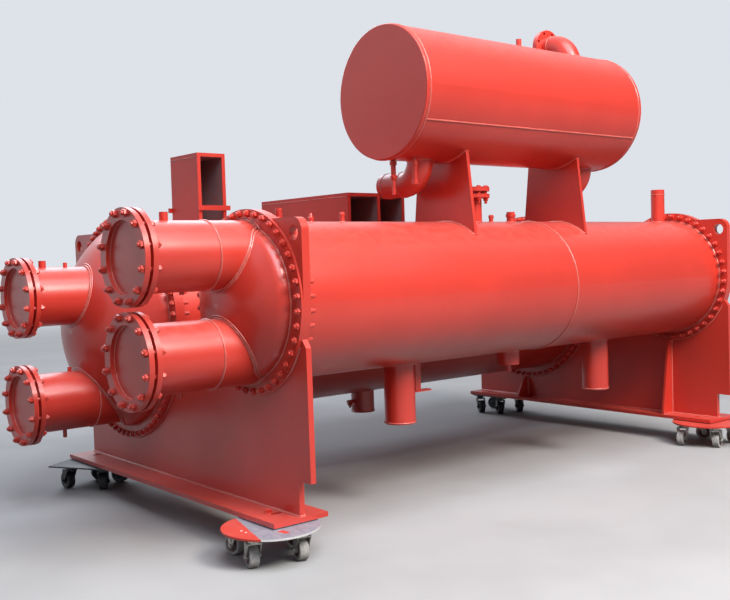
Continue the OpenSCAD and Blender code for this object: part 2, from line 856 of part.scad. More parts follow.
// A quarter bend in the XZ plane: its first end looks up at the origin, its other end towards -X
module bend(pipe_r, bend_r) {
    translate([-bend_r, 0, 0]) rotate([-90, 0, 0])
        rotate_extrude(angle = 90) translate([bend_r, 0]) circle(r = pipe_r);
}

// A bend with a straight arm towards -X
module armed_bend(arm) {
    bend(elbow_pipe_r, elbow_bend_r);
    translate([-elbow_bend_r, 0, -elbow_bend_r]) rotate([0, -90, 0])
        cylinder(r = elbow_pipe_r, h = arm);
}

// An elbow that drops from the drum and turns towards -X, its arm closed at the end
module drum_elbow(y) {
    color(paint) placed() difference() {
        translate([drum_x, y, drum_z - drum_r + elbow_sunk]) {
            armed_bend(elbow_arm);
            cylinder(r = elbow_pipe_r, h = elbow_pipe_r);
        }
        along_y(drum_r, drum_start, drum_end, drum_x, drum_z);
    }
}

module front_drum_elbow() {
    drum_elbow(drum_start + front_elbow_in);
}

module rear_drum_elbow() {
    drum_elbow(drum_start + rear_elbow_in);
}

// An elbow that rises from the drum's crown and turns towards -X, with two flanges on its arm
module drum_top_elbow() {
    sunk = elbow_bend_r - top_arm_rise;
    flange_x = -elbow_bend_r - top_arm;
    color(paint) placed() difference() {
        translate([drum_x, drum_start + top_elbow_in, drum_z + drum_r - sunk]) {
            mirror([0, 0, 1]) armed_bend(top_arm);
            translate([0, 0, -elbow_pipe_r]) cylinder(r = elbow_pipe_r, h = elbow_pipe_r);
            translate([flange_x, 0, elbow_bend_r]) rotate([0, -90, 0]) difference() {
                cylinder(r = top_flange_r, h = 2 * top_flange_t);
                for (i = [0:7]) rotate([0, 0, (i + 0.5) * 45]) translate([top_bolt_r, 0, -eps])
                    cylinder(r = top_hole_r, h = 2 * top_flange_t + 2 * eps);
            }
        }
        along_y(drum_r, drum_start, drum_end, drum_x, drum_z);
    }
}

// A pipe with a thicker or thinner end that hangs from the drum
module level_pipe(x, y, length, end_r, end_l) {
    bottom = drum_z - drum_r - length;
    translate([drum_x + x, y, bottom + end_l - eps])
        cylinder(r = level_pipe_r, h = length + drum_r - end_l + eps);
    translate([drum_x + x, y, bottom]) cylinder(r = end_r, h = end_l);
}

module drum_level_pipes() {
    color(paint) placed() difference() {
        union() {
            level_pipe(0, drum_start + first_level_in, first_level_l, level_cock_r, level_cock_l);
            level_pipe(second_level_x, drum_start + second_level_in, second_level_l,
                level_pipe_r + level_socket_rim, level_socket_l);
            translate([drum_x, drum_start + top_nipple_in, drum_z])
                cylinder(r = top_nipple_r, h = drum_r + top_nipple_h);
        }
        along_y(drum_r, drum_start, drum_end, drum_x, drum_z);
    }
}

// A box of plates on the far shell, open towards +X, with cells listed as [start, length]
module duct_box(x0, w, y0, l, z_top, cells) {
    difference() {
        translate([x0, y0, far_z]) cube([w, l, z_top - far_z]);
        for (cell = cells)
            translate([x0 + box_t, y0 + cell[0], far_z - eps])
                cube([w, cell[1], z_top - far_z - box_t + eps]);
        along_y(far_shell_r, y0 - eps, y0 + l + eps, far_x, far_z, $fn = 240);
    }
}

tall_start = shell_front + tall_box_y;
wide_start = shell_front + wide_box_y;

module tall_duct_box() {
    color(paint) placed() duct_box(far_x - tall_box_w / 2, tall_box_w, tall_start, tall_box_d,
        near_z + tall_box_top, [[box_t, tall_box_d - 2 * box_t]]);
}

module wide_duct_box() {
    second = post_in + box_t;
    color(paint) placed() duct_box(far_x + wide_box_off - wide_box_w / 2, wide_box_w,
        wide_start, wide_box_l, near_z + wide_box_top,
        [[box_t, post_in - box_t], [second, wide_box_l - second - box_t]]);
}

// Two bars along the tall box, on its +X and its -X side
module duct_clamp_bars() {
    bar_l = tall_box_d + bar_past + bar_short;
    bar_z = near_z + bar_height - bar_w / 2;
    color(paint) placed() {
        translate([far_x + tall_box_w / 2, tall_start - bar_short, bar_z])
            cube([bar_t, bar_l, bar_w]);
        translate([far_x - tall_box_w / 2 - bar_t, tall_start - bar_past, bar_z])
            cube([bar_t, bar_l, bar_w]);
    }
}

// A pipe that drops from a shell's underside
module drop_pipe(x, y, z_axis, shell_r, pipe_r, bottom) {
    difference() {
        translate([x, y, bottom]) cylinder(r = pipe_r, h = z_axis - bottom);
        along_y(shell_r, y - pipe_r - eps, y + pipe_r + eps, x, z_axis);
    }
}

module near_bottom_nozzles() {
    outlet_y = shell_front + outlet_in;
    color(paint) placed() {
        for (in = [first_drop_in, second_drop_in])
            drop_pipe(near_x, shell_front + in, near_z, near_shell_r, drop_pipe_r,
                near_z - drop_depth);
        drop_pipe(near_x, outlet_y, near_z, near_shell_r, outlet_r, near_z - outlet_depth);
        translate([near_x, outlet_y, near_z - outlet_depth - outlet_tail_l])
            cylinder(r = outlet_tail_r, h = outlet_tail_l + eps);
    }
}

// The far shell's outlet with its side cock
module far_bottom_outlet() {
    low_z = far_z - far_shell_r;
    outlet_y = shell_front + far_outlet_in;
    color(paint) placed() {
        drop_pipe(far_x, outlet_y, far_z, far_shell_r, far_outlet_r, low_z - far_outlet_l);
        along_y(far_cock_r, outlet_y - far_outlet_r - far_cock_l, outlet_y,
            far_x, low_z - far_cock_drop);
    }
}

// A T-shaped bracket of two plates under the near shell
module shell_hanger() {
    low_z = near_z - near_shell_r;
    y = shell_front + hanger_in;
    color(paint) placed() {
        difference() {
            translate([near_x - hanger_t / 2, y - hanger_w / 2, low_z - hanger_l])
                cube([hanger_t, hanger_w, hanger_l + near_shell_r]);
            along_y(near_shell_r, y - hanger_w, y + hanger_w, near_x, near_z);
        }
        translate([near_x - hanger_w / 2, y - hanger_foot / 2, low_z - hanger_l - hanger_t])
            cube([hanger_w, hanger_foot, hanger_t]);
    }
}

// A pipe that stands on the near shell's top, behind the front tubesheet
module stand_pipe(in, pipe_r, top) {
    y = shell_front + in;
    difference() {
        translate([near_x, y, near_z]) cylinder(r = pipe_r, h = top);
        along_y(near_shell_r, y - pipe_r - eps, y + pipe_r + eps, near_x, near_z);
    }
}

module shell_riser() {
    blind_z = riser_top + riser_gap;
    color(paint) placed() {
        stand_pipe(riser_in, riser_r, riser_top - riser_flange_t);
        translate([near_x, shell_front + riser_in, near_z]) {
            for (plate = [[riser_top - riser_flange_t, riser_flange_t], [blind_z, riser_blind_t]])
                translate([0, 0, plate[0]]) difference() {
                    cylinder(r = riser_flange_r, h = plate[1]);
                    for (i = [0:7]) rotate([0, 0, (i + 0.5) * 45]) translate([riser_bolt_r, 0, -eps])
                        cylinder(r = riser_hole_r, h = plate[1] + 2 * eps);
                }
            translate([0, 0, riser_top - eps]) cylinder(r = riser_gasket_r, h = riser_gap + 2 * eps);
        }
    }
}

module shell_fittings() {
    collar_top = near_shell_r + collar_h;
    color(paint) placed() {
        stand_pipe(coupling_in, coupling_r, near_shell_r + coupling_h);
        stand_pipe(cone_in, fitting_r, near_shell_r + cone_h / 2);
        translate([near_x, shell_front + cone_in, near_z + near_shell_r + cone_h / 2])
            cylinder(r1 = fitting_r, r2 = fitting_r / 2, h = cone_h / 2);
        stand_pipe(socket_in, fitting_r, near_shell_r + socket_h);
        stand_pipe(rear_socket_in, fitting_r, near_shell_r + rear_socket_h);
        stand_pipe(collar_in, collar_r, collar_top);
        translate([near_x, shell_front + collar_in, near_z + collar_top - collar_h / 2])
            cylinder(r = collar_r + collar_ring, h = collar_h / 4);
        stand_pipe(stub_in, riser_r, stub_top);
    }
}

// A stub on a nozzle pipe, upwards for way 1 and downwards for way -1
module nozzle_stub(x, h, out, r, way, length) {
    difference() {
        translate([x, -out, h]) rotate([way < 0 ? 180 : 0, 0, 0])
            cylinder(r = r, h = nozzle_pipe_r + length);
        along_y(nozzle_pipe_r, -out - r - eps, -out + r + eps, x, h);
    }
}

module nozzle_fittings() {
    color(paint) placed() {
        nozzle_stub(near_x, near_heights[0], near_vent_out, vent_r, 1, vent_h);
        nozzle_stub(near_x, near_heights[0], near_plug_out, plug_r, -1, plug_l);
        nozzle_stub(near_x, near_heights[1], near_drain_out, plug_r, -1, drain_l);
        nozzle_stub(far_x, far_heights[0], far_vent_out, vent_r, 1, vent_h);
        for (h = far_heights) nozzle_stub(far_x, h, far_nipple_out, plug_r, 1, drain_l);
        nozzle_stub(far_x, far_heights[1], far_drain_out, plug_r, -1, far_drain_l);
    }
}

// Dollies. Each has a middle, a turn and four caster headings in degrees.
right_end = legs_x + foot_half_l;
left_end = legs_x - foot_half_l;
dolly_places = [
    [right_end - front_right_in, front_foot_y - front_right_out, -17, [162, 189, 60, 164]],
    [left_end + front_left_in, front_foot_y - front_left_out, 30, [150, 185, 75, 210]],
    [right_end - rear_right_in, rear_foot_y - rear_right_back, 6, [105, 285, 40, 350]],
    [left_end + rear_left_in, rear_foot_y + rear_left_out, rear_left_turn, [147, 328, 200, 325]]
];

// The four swivel places of a dolly, as [x, y] from its middle
function swivel(i) = [(i == 0 || i == 3 ? 1 : -1), (i < 2 ? -1 : 1)] * caster_square / 2;

module at_dolly(d) {
    translate([start_x + d[0], start_y + d[1], 0]) rotate([0, 0, d[2]]) children();
}

module at_caster(d, i) {
    at_dolly(d) translate(concat(swivel(i), [0])) rotate([0, 0, d[3][i] - d[2]])
        translate([caster_trail, 0, wheel_d / 2]) children();
}

// Half section of a wheel's tread and web, with rounded edges and a recess on each side
module wheel_section() {
    difference() {
        union() {
            translate([0, tread_edge - wheel_w / 2])
                square([wheel_d / 2, wheel_w - 2 * tread_edge]);
            translate([0, -wheel_w / 2]) square([wheel_d / 2 - tread_edge, wheel_w]);
            for (side = [-1, 1])
                translate([wheel_d / 2 - tread_edge, side * (wheel_w / 2 - tread_edge)])
                    circle(r = tread_edge);
        }
        for (side = [-1, 1]) translate([hub_r, side * wheel_w / 2 - recess_d])
            square([recess_r - hub_r, 2 * recess_d]);
        translate([-wheel_d, -wheel_w]) square([wheel_d, 2 * wheel_w]);
    }
}

hub_w = wheel_w + 2 * hub_proud;

// A wheel about the Y axis, with a hub that stands proud of its tread
module wheel(d, i) {
    color(tread) at_caster(d, i) rotate([90, 0, 0]) difference() {
        union() {
            rotate_extrude() wheel_section();
            translate([0, 0, -hub_w / 2]) cylinder(r = hub_r, h = hub_w);
        }
        translate([0, 0, -hub_w]) cylinder(r = axle_r + axle_gap, h = 2 * hub_w);
    }
}

// A fork with its axle, its swivel and the plate that bolts under the deck
module caster_fork(d, i) {
    gap = hub_w + 2 * fork_gap;
    outer = gap + 2 * fork_t;
    top = caster_h - wheel_d / 2;
    crown_z = top - plate_t - race_h;
    color(steel) at_caster(d, i) {
        for (face = [-gap / 2, outer / 2]) translate([0, face, 0]) rotate([90, 0, 0])
            linear_extrude(height = fork_t) {
                circle(r = cheek_r);
                polygon([
                    [-cheek_r, 0], [cheek_r, 0], [crown_front, crown_z],
                    [-caster_trail - crown_back, crown_z]
                ]);
            }
        translate([-caster_trail - crown_back, -outer / 2, crown_z - plate_t])
            cube([caster_trail + crown_back + crown_front, outer, plate_t]);
        translate([-caster_trail, 0, crown_z]) cylinder(r = race_r, h = race_h);
        translate([-caster_trail - plate_l / 2, -plate_w / 2, top - plate_t])
            cube([plate_l, plate_w, plate_t]);
        rotate([90, 0, 0]) translate([0, 0, -outer / 2 - axle_end])
            cylinder(r = axle_r, h = outer + 2 * axle_end);
    }
}

module caster_forks() {
    for (d = dolly_places, i = [0:3]) caster_fork(d, i);
}

// The outline of a deck or of its packing, round on the right and square on the left
module deck_outline(k, short) {
    if (k % 2 == 0) circle(r = round_deck_r - short, $fn = 180);
    else square(square_deck - 2 * short, center = true);
}

module deck(k) {
    at_dolly(dolly_places[k]) translate([0, 0, caster_h])
        linear_extrude(height = deck_t) deck_outline(k, 0);
}

module round_decks() {
    color(steel) for (k = [0, 2]) deck(k);
}

module square_decks() {
    color(dark) for (k = [1, 3]) deck(k);
}

// Packing between each deck and the foot plate that it carries
module deck_pads() {
    color(dark) for (k = [0:3]) intersection() {
        at_dolly(dolly_places[k]) translate([0, 0, caster_h + deck_t])
            linear_extrude(height = pad_t) deck_outline(k, pad_short);
        placed() translate([
            left_end + pad_short, (k < 2 ? front_foot_y : rear_foot_y) - foot_w / 2 + pad_short,
            caster_h + deck_t
        ]) cube([2 * (foot_half_l - pad_short), foot_w - 2 * pad_short, pad_t]);
    }
}

wheel_sets = ["front_right_wheel_", "front_left_wheel_", "rear_right_wheel_", "rear_left_wheel_"];

near_shell();
far_shell();
near_front_tubesheet();
far_front_tubesheet();
near_rear_tubesheet();
far_rear_tubesheet();
near_waterbox();
far_waterbox();
near_return_cover();
far_return_cover();
near_water_nozzles();
far_water_nozzles();
nozzle_rings();
blanking_discs();
front_leg_plate();
rear_leg_plate();
front_foot_plate();
rear_foot_plate();
leg_gussets();
drum_shell();
drum_front_head();
drum_rear_head();
front_saddle();
rear_saddle();
front_drum_elbow();
rear_drum_elbow();
drum_top_elbow();
drum_level_pipes();
tall_duct_box();
wide_duct_box();
duct_clamp_bars();
near_bottom_nozzles();
far_bottom_outlet();
shell_hanger();
shell_riser();
shell_fittings();
nozzle_fittings();
round_decks();
square_decks();
deck_pads();
caster_forks();
for (k = [0:3], i = [0:3])
    wheel(dolly_places[k], i);
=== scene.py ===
"""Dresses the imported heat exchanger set: fasteners, weld beads, fittings, paint, light and camera.

Lengths are metres in the part's own frame. Everything is placed from the boxes of the CAD nodes.
"""

import json
import math
import random

import bmesh
import bpy
from bpy.props import FloatProperty, FloatVectorProperty, IntProperty, PointerProperty, StringProperty
from mathutils import Matrix, Vector


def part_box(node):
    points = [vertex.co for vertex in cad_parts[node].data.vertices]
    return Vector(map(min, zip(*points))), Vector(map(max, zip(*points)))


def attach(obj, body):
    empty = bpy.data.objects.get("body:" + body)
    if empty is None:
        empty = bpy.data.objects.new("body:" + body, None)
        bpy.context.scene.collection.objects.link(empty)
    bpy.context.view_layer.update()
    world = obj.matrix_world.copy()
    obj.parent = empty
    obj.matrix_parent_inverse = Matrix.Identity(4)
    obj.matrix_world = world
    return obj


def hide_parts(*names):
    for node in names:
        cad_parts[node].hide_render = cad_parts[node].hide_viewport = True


bl_info = {
    "name": "Heat Exchanger Set Dressing",
    "version": (1, 0, 0),
    "blender": (4, 5, 0),
    "location": "3D View > Sidebar > Exchanger",
    "description": "Adds fasteners, weld beads, fittings, paint and a stage to a heat exchanger set",
    "category": "Object",
}

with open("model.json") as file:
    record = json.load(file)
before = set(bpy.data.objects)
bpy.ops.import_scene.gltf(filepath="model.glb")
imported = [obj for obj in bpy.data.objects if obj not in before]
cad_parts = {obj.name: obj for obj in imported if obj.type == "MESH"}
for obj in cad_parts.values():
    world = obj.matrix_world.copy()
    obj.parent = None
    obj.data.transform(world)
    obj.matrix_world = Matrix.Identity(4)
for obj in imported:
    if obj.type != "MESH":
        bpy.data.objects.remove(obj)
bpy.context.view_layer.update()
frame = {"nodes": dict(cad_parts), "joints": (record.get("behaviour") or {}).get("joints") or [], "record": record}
NODES = frame["nodes"]
JOINTS = frame["joints"]
MM = 0.001
ROOT = "root"
X, Y, Z = Vector((1, 0, 0)), Vector((0, 1, 0)), Vector((0, 0, 1))


# ---- Places taken from the CAD nodes ----


class Vessel:
    """Axis, radii and stations of one vessel, read from its CAD nodes."""

    def __init__(self, side):
        low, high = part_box(side + "_shell")
        self.side = side
        self.x, self.z = (low.x + high.x) / 2, (low.z + high.z) / 2
        self.r = (high.x - low.x) / 2
        self.shell = (low.y, high.y)
        box_low, box_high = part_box(side + "_waterbox")
        self.sheet_r = (box_high.x - box_low.x) / 2
        self.sheet = (box_high.y, low.y)
        self.front = box_low.y
        cover_low, cover_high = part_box(side + "_return_cover")
        self.rear_sheet = (high.y, cover_low.y)
        self.rear = cover_high.y

    def at(self, y):
        """A point on the vessel's axis."""
        return self.x, y, self.z


NEAR, FAR = Vessel("near"), Vessel("far")
DRUM_LOW, DRUM_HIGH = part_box("drum_front_head")[0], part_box("drum_rear_head")[1]
DRUM_R = (DRUM_HIGH.x - DRUM_LOW.x) / 2
DRUM_X, DRUM_Z = (DRUM_LOW.x + DRUM_HIGH.x) / 2, (DRUM_LOW.z + DRUM_HIGH.z) / 2
NOZZLES = {m["name"]: Vector(m["pos_m"]) for m in frame["record"]["mounts"] if m["kind"] == "bolt_pattern"}

# Stations along the near shell, measured from its front end, with the radius of the pipe there
NEAR_TOP_PIPES = ((145, 16), (334, 12.5), (531, 12.5), (1621, 12.5), (1788, 24), (3280, 44.55), (1481, 44.55))
NEAR_LOW_PIPES = ((884, 82.6), (2558, 82.6), (1739, 65))
NEAR_STUB_TOP = 561 * MM
FAR_OUTLET, FAR_OUTLET_R = 1702 * MM, 79 * MM
GIRTH_SEAM = 1922 * MM
DRUM_HEAD, DRUM_SEAM = 26 * MM, math.radians(-30)
SADDLE_TOP_HALF = 185 * MM
ELBOW_R = 69.9 * MM
NOZZLE_HOLES = 12


# ---- Sizes and colours that a user would change ----


def length(name, description, default):
    return FloatProperty(name=name, description=description, default=default, unit="LENGTH", precision=4)


def colour(name, description, hexadecimal):
    return StringProperty(name=name, description=description, default=hexadecimal)


class WaterBoxSizes(bpy.types.PropertyGroup):
    """Forms of the dished heads, which the beads on them follow"""

    flange: length("Flange", "Thickness of a water box flange", 12 * MM)
    near_dish: length("Near dish", "Radius of the near dished heads at their flange", 358 * MM)
    far_dish: length("Far dish", "Radius of the far dished heads at their flange", 568 * MM)
    knuckle: length("Knuckle", "Knuckle radius of the dished heads", 70 * MM)
    pipe: length("Nozzle pipe", "Outer radius of a nozzle pipe", 159.25 * MM)
    bolt_circle: length("Bolt circle", "Radius of the nozzle bolt circle", 195 * MM)
    stack: length("Flange stack", "From the ring's front face to the nozzle flange's back", 62 * MM)
    recess: length("Recess", "How far a blanking disc lies behind its ring's front face", 21 * MM)
    disc: length("Disc", "Thickness of a blanking disc", 12 * MM)
    girth: length("Girth weld", "Distance of a nozzle's girth weld in front of the water box flange", 221 * MM)


class FastenerSizes(bpy.types.PropertyGroup):
    """Studs and nuts of the bolted joints"""

    near_studs: IntProperty(name="Near studs", description="Studs in a near flange", default=40)
    far_studs: IntProperty(name="Far studs", description="Studs in a far flange", default=68)
    edge_in: length("Edge", "Distance of the stud circle from the flange's edge", 21 * MM)
    nut: length("Nut", "Width across flats of a flange nut", 29 * MM)
    nozzle_nut: length("Nozzle nut", "Width across flats of a nozzle nut", 30 * MM)
    proud: length("Stud end", "How far a stud stands out of its nut", 9 * MM)
    back: length("Back end", "How far a stud stands out of the nut behind a tubesheet", 24 * MM)


class WeldSizes(bpy.types.PropertyGroup):
    """Radii of the weld beads"""

    fillet: length("Fillet", "Radius of a fillet bead", 8 * MM)
    butt: length("Butt", "Radius of a butt seam's bead", 5.5 * MM)
    small: length("Small", "Radius of a bead round a small fitting", 3 * MM)


class CasterSizes(bpy.types.PropertyGroup):
    """Sizes of the casters"""

    height: length("Height", "Height of a caster under its deck", 140 * MM)
    trail: length("Trail", "Distance of the wheel's axle behind the swivel", 34 * MM)
    tread_width: length("Tread", "Width of a tread", 44 * MM)
    recess: length("Recess", "Depth of the recess in a wheel's side", 5 * MM)
    core: length("Core", "Radius of the moulded core", 36 * MM)
    hub: length("Hub", "Radius of the hub", 16 * MM)
    front_deck: length("Front left deck", "Side of the front left dolly's square deck", 400 * MM)
    rear_deck: length("Rear left deck", "Side of the rear left dolly's square deck", 312 * MM)
    fork_half: length("Fork", "Half the width over a fork's cheeks", 32 * MM)


class PaintColours(bpy.types.PropertyGroup):
    """Colours of the finishes, as sRGB"""

    primer: colour("Primer", "Red oxide primer", "#C8382B")
    primer_deep: colour("Deep primer", "Primer where the coat is thick", "#BA3226")
    primer_light: colour("Light primer", "Primer where the coat is thin", "#D14232")
    dust: colour("Dust", "Dust on faces that look up", "#D9A79B")
    # The colour inside the duct boxes: partly bare plate, partly painted shade of the closed, unlit inside
    scale: colour("Mill scale", "Bare plate inside the duct boxes", "#8F7C7E")
    zinc: colour("Zinc", "Zinc plated fork", "#D6D5D0")
    tread: colour("Tread", "Grey caster tread", "#A8A8A6")
    core: colour("Core", "Dark red caster core", "#4A1614")
    black: colour("Black", "Black casters and dark decks", "#23262B")
    bare: colour("Bare deck", "Worn deck plate", "#AEB6C4")


class StageSizes(bpy.types.PropertyGroup):
    """Camera and lamps"""

    offset: FloatVectorProperty(
        name="Camera", description="Camera's place from the near flange's middle",
        default=(3838.6 * MM, -2449.7 * MM, 197.7 * MM), subtype="TRANSLATION")
    azimuth: FloatProperty(name="Azimuth", default=math.radians(50.486), subtype="ANGLE",
                           description="Camera's turn from looking along the vessels")
    pitch: FloatProperty(name="Pitch", default=math.radians(2.548), subtype="ANGLE",
                         description="How far the camera looks down")
    roll: FloatProperty(name="Roll", default=math.radians(1.679), subtype="ANGLE",
                        description="Camera's roll")
    lens: FloatProperty(name="Lens", default=47.78, description="Focal length on a 36 mm sensor")
    sky: FloatProperty(name="Sky", default=0.16, description="Light that the sky sheds on the object")
    backdrop: FloatProperty(name="Backdrop", default=0.9, description="Brightness of the sky as it is seen")
    key: FloatProperty(name="Key lamp", default=760, description="Power of the key lamp", unit="POWER")
    top: FloatProperty(name="Sky lamp", default=1450, description="Power of the wide lamp overhead", unit="POWER")
    left: FloatProperty(name="Left lamp", default=520, description="Power of the left lamp", unit="POWER")
    fill: FloatProperty(name="Front lamp", default=85, description="Power of the front lamp", unit="POWER")


# ---- Mesh helpers ----


def finished_mesh(name, bm):
    """Turns a bmesh into a mesh."""
    mesh = bpy.data.meshes.new(name)
    bm.to_mesh(mesh)
    bm.free()
    return mesh


def linked(name, data):
    """A new object, linked to the scene."""
    made = bpy.data.objects.new(name, data)
    bpy.context.scene.collection.objects.link(made)
    return made


def add_piece(name, mesh, material, body=ROOT, smooth=40):
    """Links a mesh or a bmesh as a piece that rides on a body."""
    if isinstance(mesh, bmesh.types.BMesh):
        mesh = finished_mesh(name, mesh)
    mesh.materials.clear()
    mesh.materials.append(material)
    piece = linked(name, mesh)
    if smooth:
        mesh.shade_smooth()
        mesh.set_sharp_from_angle(angle=math.radians(smooth))
    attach(piece, body)
    return piece


def add_primed(name, bm, smooth=30):
    """A piece of the part itself, in its red primer."""
    return add_piece(name, bm, finish("primer"), smooth=smooth)


def turn_to(direction):
    """A rotation that carries +Z to a direction."""
    return Vector(direction).to_track_quat("Z", "Y").to_matrix().to_4x4()


def stamp(bm, template, matrix):
    """Adds a copy of a template mesh, placed by a matrix."""
    first = len(bm.verts)
    bm.from_mesh(template)
    bm.verts.ensure_lookup_table()
    bmesh.ops.transform(bm, matrix=matrix, verts=bm.verts[first:])


def turned(profile, steps=32):
    """A mesh made by spinning a profile of (radius, height) points round +Z."""
    bm = bmesh.new()
    verts = [bm.verts.new((r, 0, h)) for r, h in profile]
    edges = [bm.edges.new(pair) for pair in zip(verts, verts[1:])]
    bmesh.ops.spin(bm, geom=verts + edges, axis=Z, cent=(0, 0, 0), angle=math.tau, steps=steps, use_merge=True)
    bmesh.ops.remove_doubles(bm, verts=bm.verts[:], dist=1e-6)
    bmesh.ops.recalc_face_normals(bm, faces=bm.faces[:])
    return finished_mesh("turned_template", bm)


def hex_nut(across, height, stud_r, proud, back=0.0):
    """A mesh of a nut seated at the origin on +Z, with its stud's end through it."""
    bm = bmesh.new()
    end = height + proud
    for sides, r, low, top, chamfer in ((6, across / math.sqrt(3), 0, height, across * 0.07),
                                        (12, stud_r, -back, end, stud_r * 0.25)):
        bmesh.ops.create_cone(bm, cap_ends=True, segments=sides, radius1=r, radius2=r, depth=top - low,
                              matrix=Matrix.Translation((0, 0, (low + top) / 2)))
        edges = [e for e in bm.edges if all(v.co.z > top - 1e-6 for v in e.verts)]
        bmesh.ops.bevel(bm, geom=edges, offset=chamfer, affect="EDGES", segments=1, profile=0.5, material=-1)
    return finished_mesh("nut_template", bm)


def ring_points(centre, radius, direction=Y, count=96, profile=None):
    """Points round a circle; profile moves each along the axis by its angle."""
    side = turn_to(direction)
    points = []
    for i in range(count):
        turn = math.tau * i / count
        lift = profile(turn) if profile else 0.0
        points.append(Vector(centre) + side @ Vector((radius * math.cos(turn), radius * math.sin(turn), lift)))
    return points


def beads(name, paths):
    """Weld beads along (points, radius, closed) paths, a little uneven as hand welds are."""
    draw = random.Random(name)
    data = bpy.data.curves.new(name + "_line", "CURVE")
    data.dimensions = "3D"
    data.bevel_depth = 1.0
    data.bevel_resolution = 1
    data.use_fill_caps = True
    for points, radius, closed in paths:
        spline = data.splines.new("POLY")
        spline.points.add(len(points) - 1)
        spline.use_cyclic_u = closed
        for place, p in zip(spline.points, points):
            place.co = (*p, 1)
            place.radius = radius * draw.uniform(0.85, 1.12)
    line = linked(name + "_line", data)
    bpy.context.view_layer.update()
    mesh = bpy.data.meshes.new_from_object(line.evaluated_get(bpy.context.evaluated_depsgraph_get()))
    mesh.name = name
    bpy.data.objects.remove(line)
    return add_piece(name, mesh, finish("bead"), smooth=60)


def straight(a, b, step=40 * MM):
    """Points along a straight bead."""
    a, b = Vector(a), Vector(b)
    count = max(2, int((b - a).length / step) + 1)
    return [a.lerp(b, i / (count - 1)) for i in range(count)]


# ---- Material helpers ----


def linear(hexadecimal):
    """A linear colour from an sRGB hex value."""
    value = hexadecimal.lstrip("#")
    parts = [int(value[i:i + 2], 16) / 255 for i in (0, 2, 4)]
    return (*[p / 12.92 if p <= 0.04045 else ((p + 0.055) / 1.055) ** 2.4 for p in parts], 1.0)


class Look:
    """The nodes of one material or world, with the shader they end in and the place their patterns lie in."""

    def __init__(self, tree, shader):
        self.tree, self.shader, self.place = tree, tree.nodes[shader], None

    def node(self, kind, inputs=None, **settings):
        """Adds a node with its settings; an input is a value or an output socket to link."""
        node = self.tree.nodes.new(kind)
        for key, value in settings.items():
            setattr(node, key, value)
        for key, value in (inputs or {}).items():
            self.put(key, value, node)
        return node

    def put(self, key, value, node=None):
        """Sets an input of a node, or of the shader, to a value or links it to an output socket."""
        socket = (node or self.shader).inputs[key]
        if isinstance(value, bpy.types.NodeSocket):
            self.tree.links.new(value, socket)
        else:
            socket.default_value = value

    def noise(self, size, stretch=(1, 1, 1), detail=3.0, roughness=0.55):
        """Noise whose features are about size metres across, stretched along an axis by a factor."""
        scaled = self.node("ShaderNodeMapping", {"Vector": self.place, "Scale": [1 / (size * s) for s in stretch]})
        return self.node("ShaderNodeTexNoise", {
            "Vector": scaled.outputs[0], "Scale": 1.0, "Detail": detail, "Roughness": roughness}).outputs[0]

    def between(self, value, low, high, to_low=0.0, to_high=1.0):
        """Maps a range of a value to another, clamped and smooth."""
        return self.node("ShaderNodeMapRange", {
            "Value": value, "From Min": low, "From Max": high, "To Min": to_low, "To Max": to_high},
            interpolation_type="SMOOTHSTEP").outputs[0]

    def blend(self, factor, a, b):
        return self.node("ShaderNodeMix", {0: factor, 6: a, 7: b}, data_type="RGBA").outputs[2]

    def mix(self, factor, a, b):
        return self.node("ShaderNodeMix", {0: factor, 2: a, 3: b}).outputs[0]

    def maths(self, a, b, operation="MULTIPLY"):
        return self.node("ShaderNodeMath", {0: a, 1: b}, operation=operation).outputs[0]

    def vector(self, a, b, operation):
        """The number that a vector operation gives."""
        return self.node("ShaderNodeVectorMath", {0: a, 1: b}, operation=operation).outputs["Value"]

    def axes(self, value):
        """The X, Y and Z outputs of a vector."""
        return self.node("ShaderNodeSeparateXYZ", {0: value}).outputs

    def facing(self):
        """The Z of the surface's direction."""
        return self.axes(self.node("ShaderNodeNewGeometry").outputs["Normal"])["Z"]

    def inside(self, value, low, high):
        """One where a value lies in a range, else zero."""
        return self.maths(self.maths(value, low, "GREATER_THAN"), self.maths(value, high, "LESS_THAN"))

    def seen(self, ray):
        """One where the ray is the camera's, a mirror's or a glass's, and zero where it only lights."""
        mirrored = self.maths(ray["Is Glossy Ray"], ray["Is Transmission Ray"], "MAXIMUM")
        return self.maths(ray["Is Camera Ray"], mirrored, "MAXIMUM")

    def bump(self, height, distance, strength=1.0, under=None):
        node = self.node("ShaderNodeBump", {"Height": height, "Distance": distance, "Strength": strength})
        if under:
            self.put("Normal", under, node)
        self.put("Normal", node.outputs[0])
        return node.outputs[0]


def start_material(name):
    """A material and its nodes, with patterns that lie in the part's own metres."""
    material = bpy.data.materials.new(name)
    material.use_nodes = True
    look = Look(material.node_tree, "Principled BSDF")
    look.place = look.node("ShaderNodeTexCoord").outputs["Object"]
    return material, look


def primer_nodes(look, colours):
    """Colour of the sprayed primer: cloudy coat, faint runs and dust on faces that look up."""
    cloud = look.between(look.noise(700 * MM, detail=2), 0.3, 0.7)
    coat = look.blend(cloud, linear(colours.primer_deep), linear(colours.primer))
    thin = look.between(look.noise(90 * MM, (1, 1, 2.2)), 0.55, 0.85, 0.0, 0.3)
    coat = look.blend(thin, coat, linear(colours.primer_light))
    runs = look.between(look.noise(14 * MM, (1, 1, 14), detail=2), 0.6, 0.85, 0.0, 0.15)
    coat = look.blend(runs, coat, linear(colours.primer_deep))
    film = look.maths(look.between(look.facing(), 0.45, 1.0, 0.0, 0.14),
                      look.between(look.noise(45 * MM), 0.3, 0.7, 0.4, 1.0))
    return look.blend(film, coat, linear(colours.dust)), cloud


